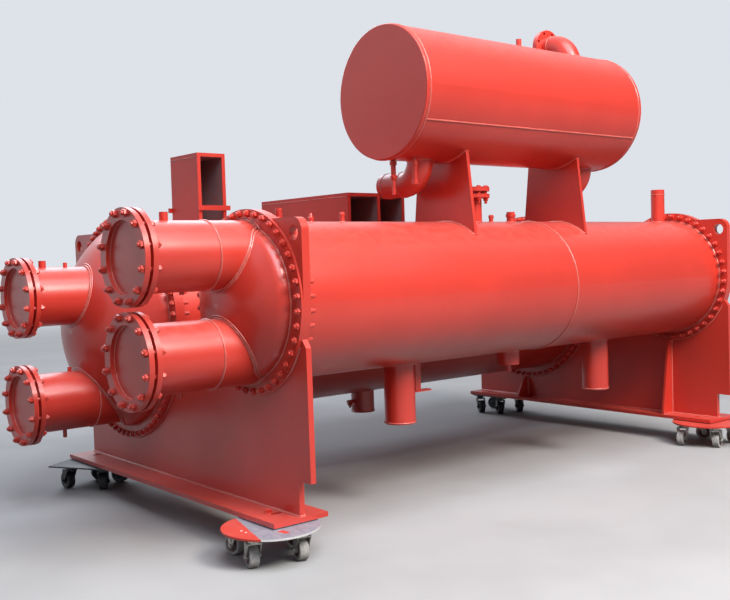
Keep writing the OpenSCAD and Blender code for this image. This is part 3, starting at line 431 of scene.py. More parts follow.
def primer(name, colours, grain=3 * MM, depth=0.12 * MM, gloss=0.36, lift=0.0):
    """Red oxide alkyd primer, sprayed on plate: semi-gloss, faintly pebbled, lighter where it is thin."""
    material, look = start_material(name)
    coat, cloud = primer_nodes(look, colours)
    # On the weld beads, lift mixes the dust colour in evenly: a painted highlight that lightens the whole bead
    if lift:
        coat = look.blend(lift, coat, linear(colours.dust))
    look.put("Base Color", coat)
    look.put("Roughness", look.between(cloud, 0, 1, gloss + 0.07, gloss - 0.03))
    look.put("IOR", 1.45)
    look.put("Coat Weight", 0.5)
    look.put("Coat Roughness", 0.24)
    wave = look.bump(look.noise(160 * MM, detail=1), 1.2 * MM, 0.5)
    look.bump(look.noise(grain, detail=2), depth, 1.0, wave)
    return material


def duct_primer(name, colours, node):
    """The same primer outside, and grey inside the box, behind the front edges of its plates: partly bare,
    unpainted plate and partly painted shade.
    """
    material, look = start_material(name)
    coat, cloud = primer_nodes(look, colours)
    low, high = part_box(node)
    edge = 5 * MM
    spot = look.axes(look.place)
    inside = look.maths(look.inside(spot["X"], low.x + edge, high.x - edge),
                        look.inside(spot["Y"], low.y + edge, high.y - edge))
    inside = look.maths(inside, look.inside(spot["Z"], low.z - 1, high.z - edge))
    # Inside colour: grey mottled with the deep primer, partly bare plate and partly painted shade of the box's
    # unlit inside
    scale = look.blend(look.between(look.noise(60 * MM), 0.35, 0.7),
                         linear(colours.scale), linear(colours.primer_deep))
    scale = look.blend(0.75, scale, linear(colours.scale))
    look.put("Base Color", look.blend(inside, coat, scale))
    look.put("Roughness", look.between(inside, 0, 1, 0.4, 0.7))
    look.bump(look.noise(3 * MM, detail=2), 0.12 * MM)
    return material


def zinc_plate(name, colours):
    """Bright zinc on pressed steel, grimy where handled; the casters on the left side are painted black."""
    material, look = start_material(name)
    spangle = look.between(look.noise(7 * MM, detail=2), 0.3, 0.7)
    tone = look.blend(spangle, linear(colours.zinc), linear("#8E8C84"))
    grime = look.between(look.noise(26 * MM), 0.5, 0.72, 0.0, 0.7)
    tone = look.blend(grime, tone, linear("#4B4541"))
    black = look.maths(look.axes(look.place)["X"], 0.0, "LESS_THAN")
    look.put("Base Color", look.blend(black, tone, linear(colours.black)))
    look.put("Metallic", look.between(black, 0, 1, 0.45, 0.0))
    look.put("Roughness", look.between(grime, 0, 1, 0.28, 0.6))
    look.bump(spangle, 0.1 * MM, 0.6)
    return material


def cast_tread(name, colours, tone):
    """Cast polyurethane: matt, scuffed and dusty where it rolls."""
    material, look = start_material(name)
    scuff = look.between(look.noise(9 * MM, detail=4), 0.4, 0.72, 0.0, 0.6)
    base = look.blend(scuff, linear(tone), linear("#D7D4CD" if tone == colours.tread else "#5A5B5C"))
    look.put("Base Color", base)
    look.put("Roughness", 0.62)
    look.bump(look.noise(2 * MM, detail=2), 0.15 * MM, 0.7)
    return material


def moulded_core(name, tone):
    """Moulded polyamide: smooth, a little glossy, with a greasy film near the bearing."""
    material, look = start_material(name)
    film = look.between(look.noise(12 * MM), 0.4, 0.7, 0.0, 0.7)
    look.put("Base Color", look.blend(film, linear(tone), linear("#1B1414")))
    look.put("Roughness", 0.42)
    look.bump(film, 0.1 * MM, 0.4)
    return material


def dark_deck(name):
    """Dark painted, smooth deck plate: worn to grey along streaks."""
    material, look = start_material(name)
    worn = look.between(look.noise(70 * MM, (2.5, 1, 1), detail=5), 0.5, 0.7, 0.0, 0.65)
    tone = look.blend(worn, linear("#30343C"), linear("#6C727C"))
    look.put("Base Color", tone)
    look.put("Roughness", look.between(worn, 0, 1, 0.42, 0.62))
    look.bump(look.noise(5 * MM, detail=3), 0.2 * MM, 0.6)
    return material


def worn_deck(name, colours):
    """Deck plate that was part painted with primer: bare, scratched blue-grey steel beside a red field."""
    material, look = start_material(name)
    foot_low, foot_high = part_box("front_foot_plate")
    corner = Vector((foot_high.x, foot_low.y, 0))
    scratch = look.between(look.noise(6 * MM, (9, 1, 1), detail=4), 0.48, 0.72)
    cloud = look.between(look.noise(60 * MM, detail=4), 0.35, 0.7)
    bare = look.blend(scratch, linear(colours.bare), linear("#D3D6DC"))
    bare = look.blend(look.maths(cloud, 0.5), bare, linear("#8C93A3"))
    # The deck's side faces are painted near white: a painted highlight along the plate's edge
    rim = look.inside(look.facing(), -0.5, 0.5)
    bare = look.blend(rim, bare, linear("#E4E4E2"))
    paint, _ = primer_nodes(look, colours)
    spot = look.axes(look.place)
    wobble = look.between(look.noise(30 * MM), 0.0, 1.0, -6 * MM, 6 * MM)
    # The edge of the red field runs from the foot plate's front edge outwards to the deck's rim
    start, end = corner + Vector((-204 * MM, -39 * MM, 0)), corner + Vector((70 * MM, -118 * MM, 0))
    run = (end - start).normalized()
    across = Vector((-run.y, run.x, 0))
    edge = look.maths(look.vector(look.place, across, "DOT_PRODUCT"), across.dot(start), "SUBTRACT")
    field = look.maths(look.maths(edge, wobble, "ADD"), 0.0, "LESS_THAN")
    field = look.maths(field, look.maths(spot["Y"], 0.0, "GREATER_THAN"), "MAXIMUM")
    # A small red patch, and two white spots
    along, out = (look.maths(spot[axis], wobble, "ADD") for axis in "XY")
    patch = look.maths(look.inside(along, corner.x + 20 * MM, corner.x + 74 * MM),
                       look.inside(out, corner.y + 4 * MM, corner.y + 34 * MM))
    red = look.maths(field, patch, "MAXIMUM")
    tone = look.blend(red, bare, paint)
    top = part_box("round_decks")[1].z
    for dx, dy in ((-100, -104), (-66, -103)):
        gap = look.vector(look.place, corner + Vector((dx * MM, dy * MM, top)), "DISTANCE")
        tone = look.blend(look.maths(gap, 5.5 * MM, "LESS_THAN"), tone, linear("#F4EFEA"))
    look.put("Base Color", tone)
    look.put("Metallic", look.between(red, 0, 1, 0.55, 0.0))
    look.put("Roughness", look.between(red, 0, 1, 0.45, 0.4))
    look.bump(scratch, 0.12 * MM, 0.6)
    return material


def sealed_concrete(name):
    """Plain pale floor: smooth sealed concrete, matt, with a very faint cloud."""
    material, look = start_material(name)
    cloud = look.between(look.noise(0.9, detail=3), 0.3, 0.7)
    shown = look.blend(cloud, linear("#9E9F9F"), linear("#A7A8A8"))
    seen = look.seen(look.node("ShaderNodeLightPath").outputs)
    look.put("Base Color", look.blend(seen, linear("#585654"), shown))
    # Far off, beyond the lamps' reach, the floor is seen as pale as the backdrop
    far_off = look.vector(look.place, (0, 0, 0), "DISTANCE")
    look.put("Emission Strength", look.maths(seen, look.between(far_off, 4.5, 22.0, 0.0, 0.62)))
    look.put("Emission Color", linear("#E9EDF4"))
    look.put("Roughness", 0.75)
    return material


FINISHES = {}


def finish(name):
    """The material of a finish, made the first time it is asked for."""
    if name not in FINISHES:
        colours = bpy.context.scene.exchanger_paint
        makers = {
            "primer": lambda: primer("red_oxide_primer", colours),
            # The beads' lift towards the dust colour is a painted highlight along the welds
            "bead": lambda: primer("primed_weld", colours, grain=7 * MM, depth=0.8 * MM, gloss=0.26, lift=0.22),
            "tall_duct": lambda: duct_primer("tall_duct_primer", colours, "tall_duct_box"),
            "wide_duct": lambda: duct_primer("wide_duct_primer", colours, "wide_duct_box"),
            "zinc": lambda: zinc_plate("zinc_plate", colours),
            "grey_tread": lambda: cast_tread("grey_polyurethane", colours, colours.tread),
            "black_tread": lambda: cast_tread("black_polyurethane", colours, colours.black),
            "core": lambda: moulded_core("red_polyamide", colours.core),
            "black_core": lambda: moulded_core("black_polyamide", "#191A1D"),
            "dark_deck": lambda: dark_deck("dark_deck_paint"),
            "worn_deck": lambda: worn_deck("worn_deck_plate", colours),
            "floor": lambda: sealed_concrete("sealed_concrete"),
        }
        FINISHES[name] = makers[name]()
    return FINISHES[name]


# ---- Forms that the beads follow ----


def dome_lift(vessel, dish_r, rho):
    """How far in front of the flange a dished head's surface lies, at a distance from the vessel's axis."""
    sizes = bpy.context.scene.exchanger_water_box
    depth = vessel.sheet[0] - sizes.flange - vessel.front
    k = sizes.knuckle
    crown = ((dish_r - k) ** 2 + depth ** 2 - k ** 2) / (2 * (depth - k))
    tangent = (dish_r - k) * crown / (crown - k)
    if rho >= dish_r:
        return 0.0
    if rho <= tangent:
        return depth - crown + math.sqrt(crown ** 2 - rho ** 2)
    return math.sqrt(max(0.0, k ** 2 - (rho - dish_r + k) ** 2))


def nozzle_seat(vessel, dish_r, face, centre, r, count=120):
    """Points round a nozzle pipe, on the dished head that it runs into."""
    points = []
    for i in range(count):
        t = math.tau * i / count
        px, pz = centre.x + r * math.cos(t), centre.z + r * math.sin(t)
        rho = math.hypot(px - vessel.x, pz - vessel.z)
        points.append(Vector((px, face - dome_lift(vessel, dish_r, rho), pz)))
    return points


def on_shell(cx, cz, shell_r, x, y, pipe_r, up=1, count=48):
    """Points where an upright pipe meets a shell that lies along Y."""
    points = []
    for i in range(count):
        t = math.tau * i / count
        px = x + pipe_r * math.cos(t)
        rise = math.sqrt(max(0.0, shell_r ** 2 - (px - cx) ** 2))
        points.append(Vector((px, y + pipe_r * math.sin(t), cz + up * rise)))
    return points


def arc(x, z, r, y, start, end, step=60 * MM):
    """Points on a circle about a Y axis; angles in degrees from +Z towards +X."""
    count = max(4, int(abs(math.radians(end - start)) * r / step) + 1)
    turns = [math.radians(start + (end - start) * i / (count - 1)) for i in range(count)]
    return [Vector((x + r * math.sin(t), y, z + r * math.cos(t))) for t in turns]


# ---- Operators, one for each group of like pieces ----


class DressingOperator(bpy.types.Operator):
    """Base of the dressing operators"""

    bl_options = {"REGISTER", "UNDO"}


class AddFlangeStuds(DressingOperator):
    """Adds the studs and nuts that hold the water boxes and return covers to the tubesheets"""

    bl_idname = "exchanger.flange_studs"
    bl_label = "Flange studs"

    def execute(self, context):
        sizes = context.scene.exchanger_fasteners
        height, stud = sizes.nut * 0.5, sizes.nut / 3
        outer = hex_nut(sizes.nut, height, stud, sizes.proud, 10 * MM)
        inner = hex_nut(sizes.nut, height, stud, sizes.back, 10 * MM)
        for vessel, count in ((NEAR, sizes.near_studs), (FAR, sizes.far_studs)):
            circle = vessel.sheet_r - sizes.edge_in
            flange = context.scene.exchanger_water_box.flange
            ends = {"front": ((vessel.sheet[0] - flange, -Y, outer), (vessel.sheet[1], Y, inner)),
                    "rear": ((vessel.rear_sheet[0], -Y, inner), (vessel.rear_sheet[1] + flange, Y, outer))}
            for end, faces in ends.items():
                bm = bmesh.new()
                for i in range(count):
                    t = math.tau * (i + 0.5) / count
                    x, z = vessel.x + circle * math.sin(t), vessel.z + circle * math.cos(t)
                    for y, way, nut in faces:
                        stamp(bm, nut, Matrix.Translation((x, y, z)) @ turn_to(way)
                              @ Matrix.Rotation(t, 4, "Z"))
                add_primed(f"{vessel.side}_{end}_studs", bm)
        return {"FINISHED"}


class AddNozzleBolts(DressingOperator):
    """Adds the twelve studs of each blanked nozzle ring, with a nut on both sides"""

    bl_idname = "exchanger.nozzle_bolts"
    bl_label = "Nozzle bolts"

    def execute(self, context):
        boxes, sizes = context.scene.exchanger_water_box, context.scene.exchanger_fasteners
        across = sizes.nozzle_nut
        nut = hex_nut(across, across * 0.53, across / 3, sizes.proud, boxes.stack / 2)
        for name, centre in NOZZLES.items():
            bm = bmesh.new()
            for i in range(NOZZLE_HOLES):
                t = math.tau * (i + 0.5) / NOZZLE_HOLES
                x, z = centre.x + boxes.bolt_circle * math.sin(t), centre.z + boxes.bolt_circle * math.cos(t)
                for y, way in ((centre.y, -Y), (centre.y + boxes.stack, Y)):
                    stamp(bm, nut, Matrix.Translation((x, y, z)) @ turn_to(way) @ Matrix.Rotation(t + i, 4, "Z"))
            add_primed(name + "_studs", bm)
        return {"FINISHED"}


class AddBlankingDiscs(DressingOperator):
    """Sets the nozzles' blanking discs at the back of their rings, with the bead that holds them"""

    bl_idname = "exchanger.blanking_discs"
    bl_label = "Blanking discs"

    def execute(self, context):
        boxes = context.scene.exchanger_water_box
        right = max(centre.x for centre in NOZZLES.values())
        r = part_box("blanking_discs")[1].x - right
        disc = turned([(0, 0), (r, 0), (r, boxes.disc), (0, boxes.disc)], 96)
        bm = bmesh.new()
        for centre in NOZZLES.values():
            stamp(bm, disc, Matrix.Translation((centre.x, centre.y + boxes.recess, centre.z)) @ turn_to(Y))
        piece = add_primed("blanking_plates", bm)
        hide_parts("blanking_discs")
        weld = context.scene.exchanger_welds
        paths = [(ring_points((c.x, c.y + boxes.recess, c.z), r - 1 * MM), weld.small, True)
                 for c in NOZZLES.values()]
        beads("blanking_welds", paths)
        return {"FINISHED"}


class AddRiserBolts(DressingOperator):
    """Adds the studs of the riser's blind flange, long below and short above"""

    bl_idname = "exchanger.riser_bolts"
    bl_label = "Riser bolts"

    def execute(self, context):
        low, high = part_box("shell_riser")
        x, y = (low.x + high.x) / 2, (low.y + high.y) / 2
        stack, circle = 61 * MM, 74 * MM
        above = hex_nut(22 * MM, 7 * MM, 7 * MM, 0.5 * MM, stack / 2)
        below = hex_nut(24 * MM, 15 * MM, 8 * MM, 16 * MM, stack / 2)
        bm = bmesh.new()
        for i in range(8):
            t = math.tau * (i + 0.5) / 8
            place = Matrix.Translation((x + circle * math.cos(t), y + circle * math.sin(t), high.z))
            stamp(bm, above, place @ Matrix.Rotation(t, 4, "Z"))
            stamp(bm, below, Matrix.Translation((0, 0, -stack)) @ place @ turn_to(-Z))
        add_primed("riser_studs", bm)
        return {"FINISHED"}


class AddVesselWelds(DressingOperator):
    """Adds the beads round the shells, the water boxes and the return covers"""

    bl_idname = "exchanger.vessel_welds"
    bl_label = "Vessel welds"

    def execute(self, context):
        boxes, weld = context.scene.exchanger_water_box, context.scene.exchanger_welds
        for vessel, dish_r in ((NEAR, boxes.near_dish), (FAR, boxes.far_dish)):
            flange_front = vessel.sheet[0] - boxes.flange
            flange_rear = vessel.rear_sheet[1] + boxes.flange
            paths = [(ring_points(vessel.at(y), vessel.r, count=160), weld.fillet, True) for y in vessel.shell]
            paths += [(ring_points(vessel.at(y), dish_r, count=160), weld.butt, True)
                      for y in (flange_front, flange_rear)]
            seam = vessel.at(vessel.shell[0] + GIRTH_SEAM)
            paths.append((ring_points(seam, vessel.r + 0.5 * MM, count=200), weld.butt, True))
            beads(vessel.side + "_vessel_welds", paths)
        return {"FINISHED"}


class AddNozzleWelds(DressingOperator):
    """Adds the beads on the water nozzles, and where they run into the dished heads"""

    bl_idname = "exchanger.nozzle_welds"
    bl_label = "Nozzle welds"

    def execute(self, context):
        boxes, weld = context.scene.exchanger_water_box, context.scene.exchanger_welds
        for name, centre in NOZZLES.items():
            vessel, dish_r = (NEAR, boxes.near_dish) if name.startswith("near") else (FAR, boxes.far_dish)
            face = vessel.sheet[0] - boxes.flange
            seats = [nozzle_seat(vessel, dish_r, face, centre, boxes.pipe + out) for out in (2 * MM, 13 * MM)]
            paths = [(seats[0], weld.fillet, True), (seats[1], weld.butt, True)]
            for y, bead in ((centre.y + boxes.stack, weld.fillet), (face - boxes.girth, weld.butt)):
                paths.append((ring_points((centre.x, y, centre.z), boxes.pipe), bead, True))
            beads(name + "_welds", paths)
        return {"FINISHED"}


class AddDrumWelds(DressingOperator):
    """Adds the beads of the drum, its saddles and its elbows"""

    bl_idname = "exchanger.drum_welds"
    bl_label = "Drum welds"

    def execute(self, context):
        weld = context.scene.exchanger_welds
        front, rear = DRUM_LOW.y + DRUM_HEAD, DRUM_HIGH.y - DRUM_HEAD
        r = DRUM_R - 1 * MM
        paths = [(ring_points((DRUM_X, y, DRUM_Z), r, count=160), weld.butt, True) for y in (front, rear)]
        x, z = DRUM_X + r * math.cos(DRUM_SEAM), DRUM_Z + r * math.sin(DRUM_SEAM)
        paths.append((straight((x, front, z), (x, rear, z)), weld.butt, False))
        beads("drum_welds", paths)

        paths = []
        top_turn = math.degrees(math.asin(SADDLE_TOP_HALF / DRUM_R)) - 0.5
        for node in ("front_saddle", "rear_saddle"):
            low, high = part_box(node)
            foot_turn = math.degrees(math.asin((high.x - low.x) / 2 / NEAR.r)) - 0.5
            for y in (low.y, high.y):
                foot = arc(NEAR.x, NEAR.z, NEAR.r + 1 * MM, y, -foot_turn, foot_turn)
                top = arc(DRUM_X, DRUM_Z, DRUM_R + 1 * MM, y, 180 - top_turn, 180 + top_turn)
                paths += [(foot, weld.fillet, False), (top, weld.fillet, False)]
        beads("saddle_welds", paths)

        paths = []
        for node, way, outs in (("front_drum_elbow", -1, (127, 256)), ("rear_drum_elbow", -1, (127, 256)),
                                ("drum_top_elbow", 1, (127,))):
            low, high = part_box(node)
            y, arm_z = (low.y + high.y) / 2, (high.z - 115 * MM if way > 0 else low.z + ELBOW_R)
            paths.append((on_shell(DRUM_X, DRUM_Z, DRUM_R, DRUM_X, y, ELBOW_R, way), weld.butt, True))
            for out in outs:
                paths.append((ring_points((DRUM_X - out * MM, y, arm_z), ELBOW_R, X, 48), weld.small, True))
        beads("elbow_welds", paths)

        # Couplings, cock and hose tail of the two level pipes, each by its drop under the drum
        bm = bmesh.new()
        coupling = turned([(12 * MM, 0), (19 * MM, 0.5 * MM), (19 * MM, 20 * MM), (12 * MM, 21 * MM)], 24)
        body = turned([(8 * MM, 0), (15 * MM, 4 * MM), (18 * MM, 14 * MM), (18 * MM, 24 * MM),
                       (13 * MM, 30 * MM)], 8)
        rib = turned([(13 * MM, -2 * MM), (16 * MM, -1 * MM), (16 * MM, 1 * MM), (13 * MM, 2 * MM)], 24)
        lever = hex_nut(14 * MM, 16 * MM, 5 * MM, 10 * MM)
        first = Vector((DRUM_X, DRUM_LOW.y + 68 * MM, DRUM_Z - DRUM_R))
        second = Vector((DRUM_X + 85 * MM, DRUM_LOW.y + 142 * MM, DRUM_Z - DRUM_R))
        aside = turn_to((1, -1, 0)) @ Matrix.Translation((0, 0, 12 * MM))
        for part, pipe, drop, turn in (
                (coupling, first, 26, Matrix()), (body, first, 104, Matrix()), (lever, first, 86, aside),
                (rib, first, 178, Matrix.Scale(0.85, 4)), (coupling, second, 30, Matrix()),
                *((rib, second, 42 + 8 * k, Matrix()) for k in range(8))):
            stamp(bm, part, Matrix.Translation(pipe - Z * (drop * MM)) @ turn)
        add_primed("level_fittings", bm, 35)
        return {"FINISHED"}


class AddLegWelds(DressingOperator):
    """Adds the beads of the legs, the foot plates and the gussets, and the jacking bolts on the feet"""

    bl_idname = "exchanger.leg_welds"
    bl_label = "Leg welds and foot bolts"

    def execute(self, context):
        weld = context.scene.exchanger_welds
        paths = []
        corner_in = 92 * MM
        for end in ("front", "rear"):
            leg_low, leg_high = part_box(end + "_leg_plate")
            left, right, floor = leg_low.x + corner_in, leg_high.x - corner_in, leg_low.z
            for y in (leg_low.y, leg_high.y):
                paths.append((straight((left, y, floor), (right, y, floor)), weld.fillet, False))
            for x in (left, right):
                paths.append((straight((x, leg_low.y, floor), (x, leg_high.y, floor), 10 * MM),
                              weld.fillet, False))
            for y in (leg_low.y, leg_high.y):
                paths.append((arc(NEAR.x, NEAR.z, NEAR.sheet_r, y, 116, 219), weld.butt, False))
                paths.append((arc(FAR.x, FAR.z, FAR.sheet_r, y, 106, 249), weld.butt, False))
        low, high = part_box("leg_gussets")
        half = 8 * MM
        for vessel in (NEAR, FAR):
            for end, way in (("front", 1), ("rear", -1)):
                leg_low, leg_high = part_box(end + "_leg_plate")
                face = leg_high.y if way > 0 else leg_low.y
                for x in (vessel.x - half, vessel.x + half):
                    for end_of_bead in ((x, face, vessel.z - vessel.sheet_r), (x, face + way * 110 * MM, low.z)):
                        paths.append((straight((x, face, low.z), end_of_bead), weld.butt, False))
        beads("leg_welds", paths)

        bm = bmesh.new()
        bolt = hex_nut(30 * MM, 14 * MM, 9 * MM, 1 * MM)
        washer = turned([(0, 3 * MM), (19 * MM, 3 * MM), (20 * MM, 0), (0, 0)], 24)
        for end, way in (("front", -1), ("rear", 1)):
            foot_low, foot_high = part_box(end + "_foot_plate")
            edge = foot_low.y if way < 0 else foot_high.y
            place = Matrix.Translation((foot_high.x - 180 * MM, edge - way * 92 * MM, foot_high.z))
            stamp(bm, washer, place)
            stamp(bm, bolt, Matrix.Translation((0, 0, 3 * MM)) @ place)
        add_primed("foot_jacking_bolts", bm)
        return {"FINISHED"}


class AddDuctWelds(DressingOperator):
    """Adds the beads at the edges of the duct boxes and where they stand on the far shell"""

    bl_idname = "exchanger.duct_welds"
    bl_label = "Duct welds"

    def execute(self, context):
        weld = context.scene.exchanger_welds
        for node in ("tall_duct_box", "wide_duct_box"):
            low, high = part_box(node)
            left = math.degrees(math.asin((low.x - FAR.x) / FAR.r))
            right = math.degrees(math.asin((high.x - FAR.x) / FAR.r))
            plate = 22 * MM
            paths = [(arc(FAR.x, FAR.z, FAR.r + 1 * MM, y, left, right), weld.butt, False)
                     for y in (low.y, high.y)]
            foot = FAR.z + math.sqrt(FAR.r ** 2 - (low.x - FAR.x) ** 2)
            paths.append((straight((low.x, low.y, foot), (low.x, high.y, foot)), weld.butt, False))
            for y in (low.y, high.y):
                ends = (low.x + 4 * MM, y, high.z - plate), (high.x - 2 * MM, y, high.z - plate)
                paths.append((straight(*ends), weld.small * 0.7, False))
            beads(node + "_welds", paths)
        return {"FINISHED"}


class AddFittings(DressingOperator):
    """Adds the ribs, collars, caps and beads of the small fittings"""

    bl_idname = "exchanger.fittings"
    bl_label = "Small fittings"

    def execute(self, context):
        weld = context.scene.exchanger_welds
        start = NEAR.shell[0]
        top = NEAR.z + NEAR.r
        paths = []
        bm = bmesh.new()
        for out, r in NEAR_TOP_PIPES:
            y = start + out * MM
            paths.append((on_shell(NEAR.x, NEAR.z, NEAR.r, NEAR.x, y, r * MM, 1, 32), weld.small, True))
        rib = turned([(15 * MM, -2 * MM), (18.5 * MM, -1.2 * MM), (18.5 * MM, 1.2 * MM), (15 * MM, 2 * MM)], 24)
        for k in range(6):
            stamp(bm, rib, Matrix.Translation((NEAR.x, start + 145 * MM, top + (14 + 8 * k) * MM)))
        cap = turned([(11 * MM, 0), (16 * MM, 1 * MM), (16 * MM, 13 * MM), (14 * MM, 15 * MM),
                      (11 * MM, 15 * MM)], 6)
        for out, lift in ((334, 8), (531, 30), (1621, 20)):
            stamp(bm, cap, Matrix.Translation((NEAR.x, start + out * MM, top + lift * MM)))
        stub = (NEAR.x, start + 3280 * MM, NEAR.z + NEAR_STUB_TOP)
        paths.append((ring_points(stub, 44.5 * MM, Z, 40), weld.small, True))
        add_primed("fitting_collars", bm, 35)

        for out, r in NEAR_LOW_PIPES:
            seat = on_shell(NEAR.x, NEAR.z, NEAR.r, NEAR.x, start + out * MM, r * MM, -1, 64)
            paths.append((seat, weld.butt, True))
        seat = on_shell(FAR.x, FAR.z, FAR.r, FAR.x, FAR.shell[0] + FAR_OUTLET, FAR_OUTLET_R, -1, 64)
        paths.append((seat, weld.butt, True))
        # Rims at the ends of the pipes below, and the far outlet's cock
        for node, r, fronts in (("near_bottom_nozzles", 82.6 * MM, (1, 0)),
                                ("far_bottom_outlet", FAR_OUTLET_R, (0,))):
            low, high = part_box(node)
            for front in fronts:
                middle = ((low.x + high.x) / 2, low.y + r if front else high.y - r, low.z + 7 * MM)
                paths.append((ring_points(middle, r, Z, 64), weld.small * 1.6, True))
        beads("fitting_welds", paths)

        bm = bmesh.new()
        low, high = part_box("shell_hanger")
        place = Matrix.Translation(((low.x + high.x) / 2, high.y + 20 * MM, low.z + 4 * MM))
        bmesh.ops.create_cube(bm, size=1.0, matrix=place @ Matrix.Diagonal((high.x - low.x, 40 * MM, 8 * MM, 1)))
        add_primed("hanger_foot_end", bm, 0)
        low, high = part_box("far_bottom_outlet")
        cock = turned([(9 * MM, 0), (17 * MM, 2 * MM), (17 * MM, 20 * MM), (12 * MM, 24 * MM)], 8)
        grip = hex_nut(16 * MM, 26 * MM, 6 * MM, 4 * MM)
        bm = bmesh.new()
        nose = Vector(((low.x + high.x) / 2, low.y + 6 * MM, low.z + 66 * MM))
        stamp(bm, cock, Matrix.Translation(nose) @ turn_to(Y))
        stamp(bm, grip, Matrix.Translation(nose + Vector((0, 12 * MM, 0))) @ turn_to(-Z))
        add_primed("outlet_cock", bm)
        return {"FINISHED"}


class AddCasterHardware(DressingOperator):
    """Adds the moulded cores and bearing covers of the wheels, the axle nuts and the plate bolts"""

    bl_idname = "exchanger.caster_hardware"
    bl_label = "Caster hardware"

    def execute(self, context):
        sizes = context.scene.exchanger_casters
        floor = sizes.tread_width / 2 - sizes.recess
        core = turned([(sizes.hub, floor), (sizes.hub + 2 * MM, floor + 3 * MM),
                       (sizes.core - 6 * MM, floor + 2 * MM), (sizes.core - 3 * MM, floor + 4 * MM),
                       (sizes.core, floor + 4 * MM), (sizes.core, floor)], 48)
        web = hex_nut(5 * MM, 4 * MM, 1 * MM, 0)
        cover = turned([(7 * MM, 24.9 * MM), (7 * MM, 25.9 * MM), (13 * MM, 25.6 * MM), (14 * MM, 24.9 * MM)], 32)
        nut = hex_nut(17 * MM, 5.5 * MM, 5 * MM, 1 * MM)
        bolt = hex_nut(13 * MM, 6 * MM, 4 * MM, 0.8 * MM)
        bm = bmesh.new()
        for joint in JOINTS:
            centre, axis = Vector(joint["pos_m"]), Vector(joint["axis"]).normalized()
            black = centre.x < 0
            wheel = bmesh.new()
            covers = bmesh.new()
            for way in (axis, -axis):
                place = Matrix.Translation(centre) @ turn_to(way)
                stamp(wheel, core, place)
                stamp(covers, cover, place)
                out = Matrix.Translation((sizes.core - 13 * MM, 0, floor))
                for k in range(8):
                    stamp(wheel, web, place @ Matrix.Rotation(math.tau * k / 8, 4, "Z") @ out)
                stamp(bm, nut, Matrix.Translation(way * sizes.fork_half) @ place)
            body = joint["child"]
            add_piece(body + "_core", wheel, finish("black_core" if black else "core"), body, 35)
            add_piece(body + "_bearing", covers, finish("zinc"), body, 35)
            ahead = axis.cross(Z)
            top = Matrix.Translation(centre + Z * (sizes.height - centre.z - 5 * MM) - ahead * sizes.trail)
            for a in (-1, 1):
                for b in (-1, 1):
                    spot = ahead * (a * 33 * MM) + axis * (b * 27 * MM)
                    stamp(bm, bolt, Matrix.Translation(spot) @ top @ turn_to(-Z))
        add_piece("caster_fasteners", bm, finish("zinc"), smooth=30)
        return {"FINISHED"}


class AddLeftDecks(DressingOperator):
    """Lays the two dark decks of the left dollies, the rear one trimmed flush with the foot plate's end"""

    bl_idname = "exchanger.left_decks"
    bl_label = "Left decks"

    def execute(self, context):
        sizes = context.scene.exchanger_casters
        low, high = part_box("square_decks")
        bm = bmesh.new()
        for end, side in (("front", sizes.front_deck), ("rear", sizes.rear_deck)):
            swivels = []
            for joint in JOINTS:
                if joint["child"].startswith(end + "_left"):
                    ahead = Vector(joint["axis"]).normalized().cross(Z)
                    swivels.append(Vector(joint["pos_m"]) - ahead * sizes.trail)
            middle = sum(swivels, Vector()) / len(swivels)
            edge = swivels[0] - swivels[1]
            turn = Matrix.Rotation(math.atan2(edge.y, edge.x), 4, "Z")
            place = Matrix.Translation((middle.x, middle.y, (low.z + high.z) / 2)) @ turn
            made = bmesh.ops.create_cube(
                bm, size=1.0, matrix=place @ Matrix.Diagonal((side, side, high.z - low.z, 1)))
            rims = {e for v in made["verts"] for e in v.link_edges}
            bmesh.ops.bevel(bm, geom=list(rims), offset=1.5 * MM, affect="EDGES",
                            segments=2, profile=0.5, material=-1)
        piece = add_piece("left_decks", bm, finish("dark_deck"), smooth=30)
        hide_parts("square_decks")
        return {"FINISHED"}


class PaintParts(DressingOperator):
    """Gives each CAD piece its finish"""

    bl_idname = "exchanger.paint"
    bl_label = "Paint"

    def execute(self, context):
        special = {
            "tall_duct_box": "tall_duct", "wide_duct_box": "wide_duct", "caster_forks": "zinc",
            "round_decks": "worn_deck", "square_decks": "dark_deck", "deck_pads": "dark_deck",
        }
        for name, piece in NODES.items():
            kind = special.get(name, "primer")
            if "_wheel_" in name:
                kind = "black_tread" if "left" in name else "grey_tread"
            piece.data.materials.clear()
            piece.data.materials.append(finish(kind))
        return {"FINISHED"}


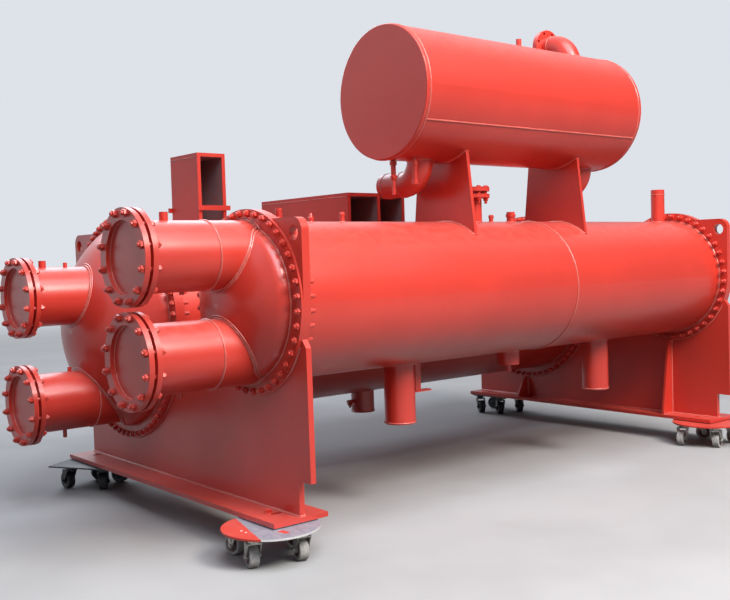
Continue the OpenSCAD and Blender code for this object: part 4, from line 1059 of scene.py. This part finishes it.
class SetStage(DressingOperator):
    """Adds the floor, the lamps and the camera at the photograph's angle"""

    bl_idname = "exchanger.stage"
    bl_label = "Stage"

    def execute(self, context):
        scene, sizes = context.scene, context.scene.exchanger_stage
        bm = bmesh.new()
        bmesh.ops.create_grid(bm, x_segments=1, y_segments=1, size=90)
        mesh = finished_mesh("floor", bm)
        mesh.materials.append(finish("floor"))
        floor = linked("floor", mesh)

        world = bpy.data.worlds.new("overcast")
        world.use_nodes = True
        look = Look(world.node_tree, "Background")
        look.put("Color", linear("#E9EDF4"))
        ray = look.node("ShaderNodeLightPath").outputs
        # Mirrored sky: bright overhead and to the left front, dark at the right rear
        way = look.node("ShaderNodeTexCoord").outputs["Generated"]
        open_sky = look.vector(way, (-0.45, -0.45, 0.9), "DOT_PRODUCT")
        shown = look.mix(ray["Is Camera Ray"], look.between(open_sky, -0.1, 0.7, 0.15, 1.0), sizes.backdrop)
        look.put("Strength", look.mix(look.seen(ray), sizes.sky, shown))
        scene.world = world
        aim = Vector((NEAR.x, 0, NEAR.z))
        for name, place, size, power, tone in (
                ("key_lamp", Vector((7.2, 0.4, 6.5)), 3.0, sizes.key, "#FFF6EC"),
                ("sky_lamp", Vector((5.6, -1.5, 9.2)), 8.0, sizes.top, "#F4F7FF"),
                ("left_lamp", Vector((-8.0, 1.5, 8.0)), 7.0, sizes.left, "#EEF3FF"),
                ("front_lamp", Vector((-3.0, -8.0, 6.5)), 6.0, sizes.fill, "#DCE8FF")):
            lamp = bpy.data.lights.new(name, "AREA")
            lamp.size, lamp.energy, lamp.color = size, power, linear(tone)[:3]
            holder = linked(name, lamp)
            holder.location = place
            holder.rotation_euler = (aim - place).to_track_quat("-Z", "Y").to_euler()

        camera = bpy.data.cameras.new("camera")
        camera.sensor_width, camera.lens, camera.sensor_fit = 36, sizes.lens, "HORIZONTAL"
        a, p, r = sizes.azimuth, sizes.pitch, sizes.roll
        ahead = Vector((-math.sin(a) * math.cos(p), math.cos(a) * math.cos(p), -math.sin(p)))
        right = Vector((math.cos(a), math.sin(a), 0))
        above = right.cross(ahead)
        side = math.cos(r) * right - math.sin(r) * above
        head = math.sin(r) * right + math.cos(r) * above
        holder = linked("camera", camera)
        turn = Matrix((side, head, -ahead)).transposed().to_4x4()
        middle = Vector((NEAR.x, NEAR.sheet[0] - scene.exchanger_water_box.flange, NEAR.z))
        holder.matrix_world = Matrix.Translation(middle + Vector(sizes.offset)) @ turn
        scene.camera = holder
        scene.view_settings.view_transform = "Standard"
        return {"FINISHED"}


OPERATORS = (PaintParts, AddFlangeStuds, AddNozzleBolts, AddBlankingDiscs, AddRiserBolts, AddVesselWelds,
             AddNozzleWelds, AddDrumWelds, AddLegWelds, AddDuctWelds, AddFittings, AddCasterHardware,
             AddLeftDecks, SetStage)


class ExchangerPanel(bpy.types.Panel):
    """Lists the dressing steps"""

    bl_idname = "EXCHANGER_PT_dressing"
    bl_label = "Exchanger"
    bl_space_type = "VIEW_3D"
    bl_region_type = "UI"
    bl_category = "Exchanger"

    def draw(self, context):
        for operator in OPERATORS:
            self.layout.operator(operator.bl_idname)


GROUPS = {
    "exchanger_water_box": WaterBoxSizes, "exchanger_fasteners": FastenerSizes, "exchanger_welds": WeldSizes,
    "exchanger_casters": CasterSizes, "exchanger_paint": PaintColours, "exchanger_stage": StageSizes,
}


def register():
    for group in GROUPS.values():
        bpy.utils.register_class(group)
    for name, group in GROUPS.items():
        setattr(bpy.types.Scene, name, PointerProperty(type=group))
    for kind in (*OPERATORS, ExchangerPanel):
        bpy.utils.register_class(kind)


def unregister():
    for kind in reversed((*OPERATORS, ExchangerPanel)):
        bpy.utils.unregister_class(kind)
    for name, group in reversed(GROUPS.items()):
        delattr(bpy.types.Scene, name)
        bpy.utils.unregister_class(group)


def main():
    register()
    for operator in OPERATORS:
        group, call = operator.bl_idname.split(".")
        getattr(getattr(bpy.ops, group), call)()


if __name__ == "__main__":
    main()
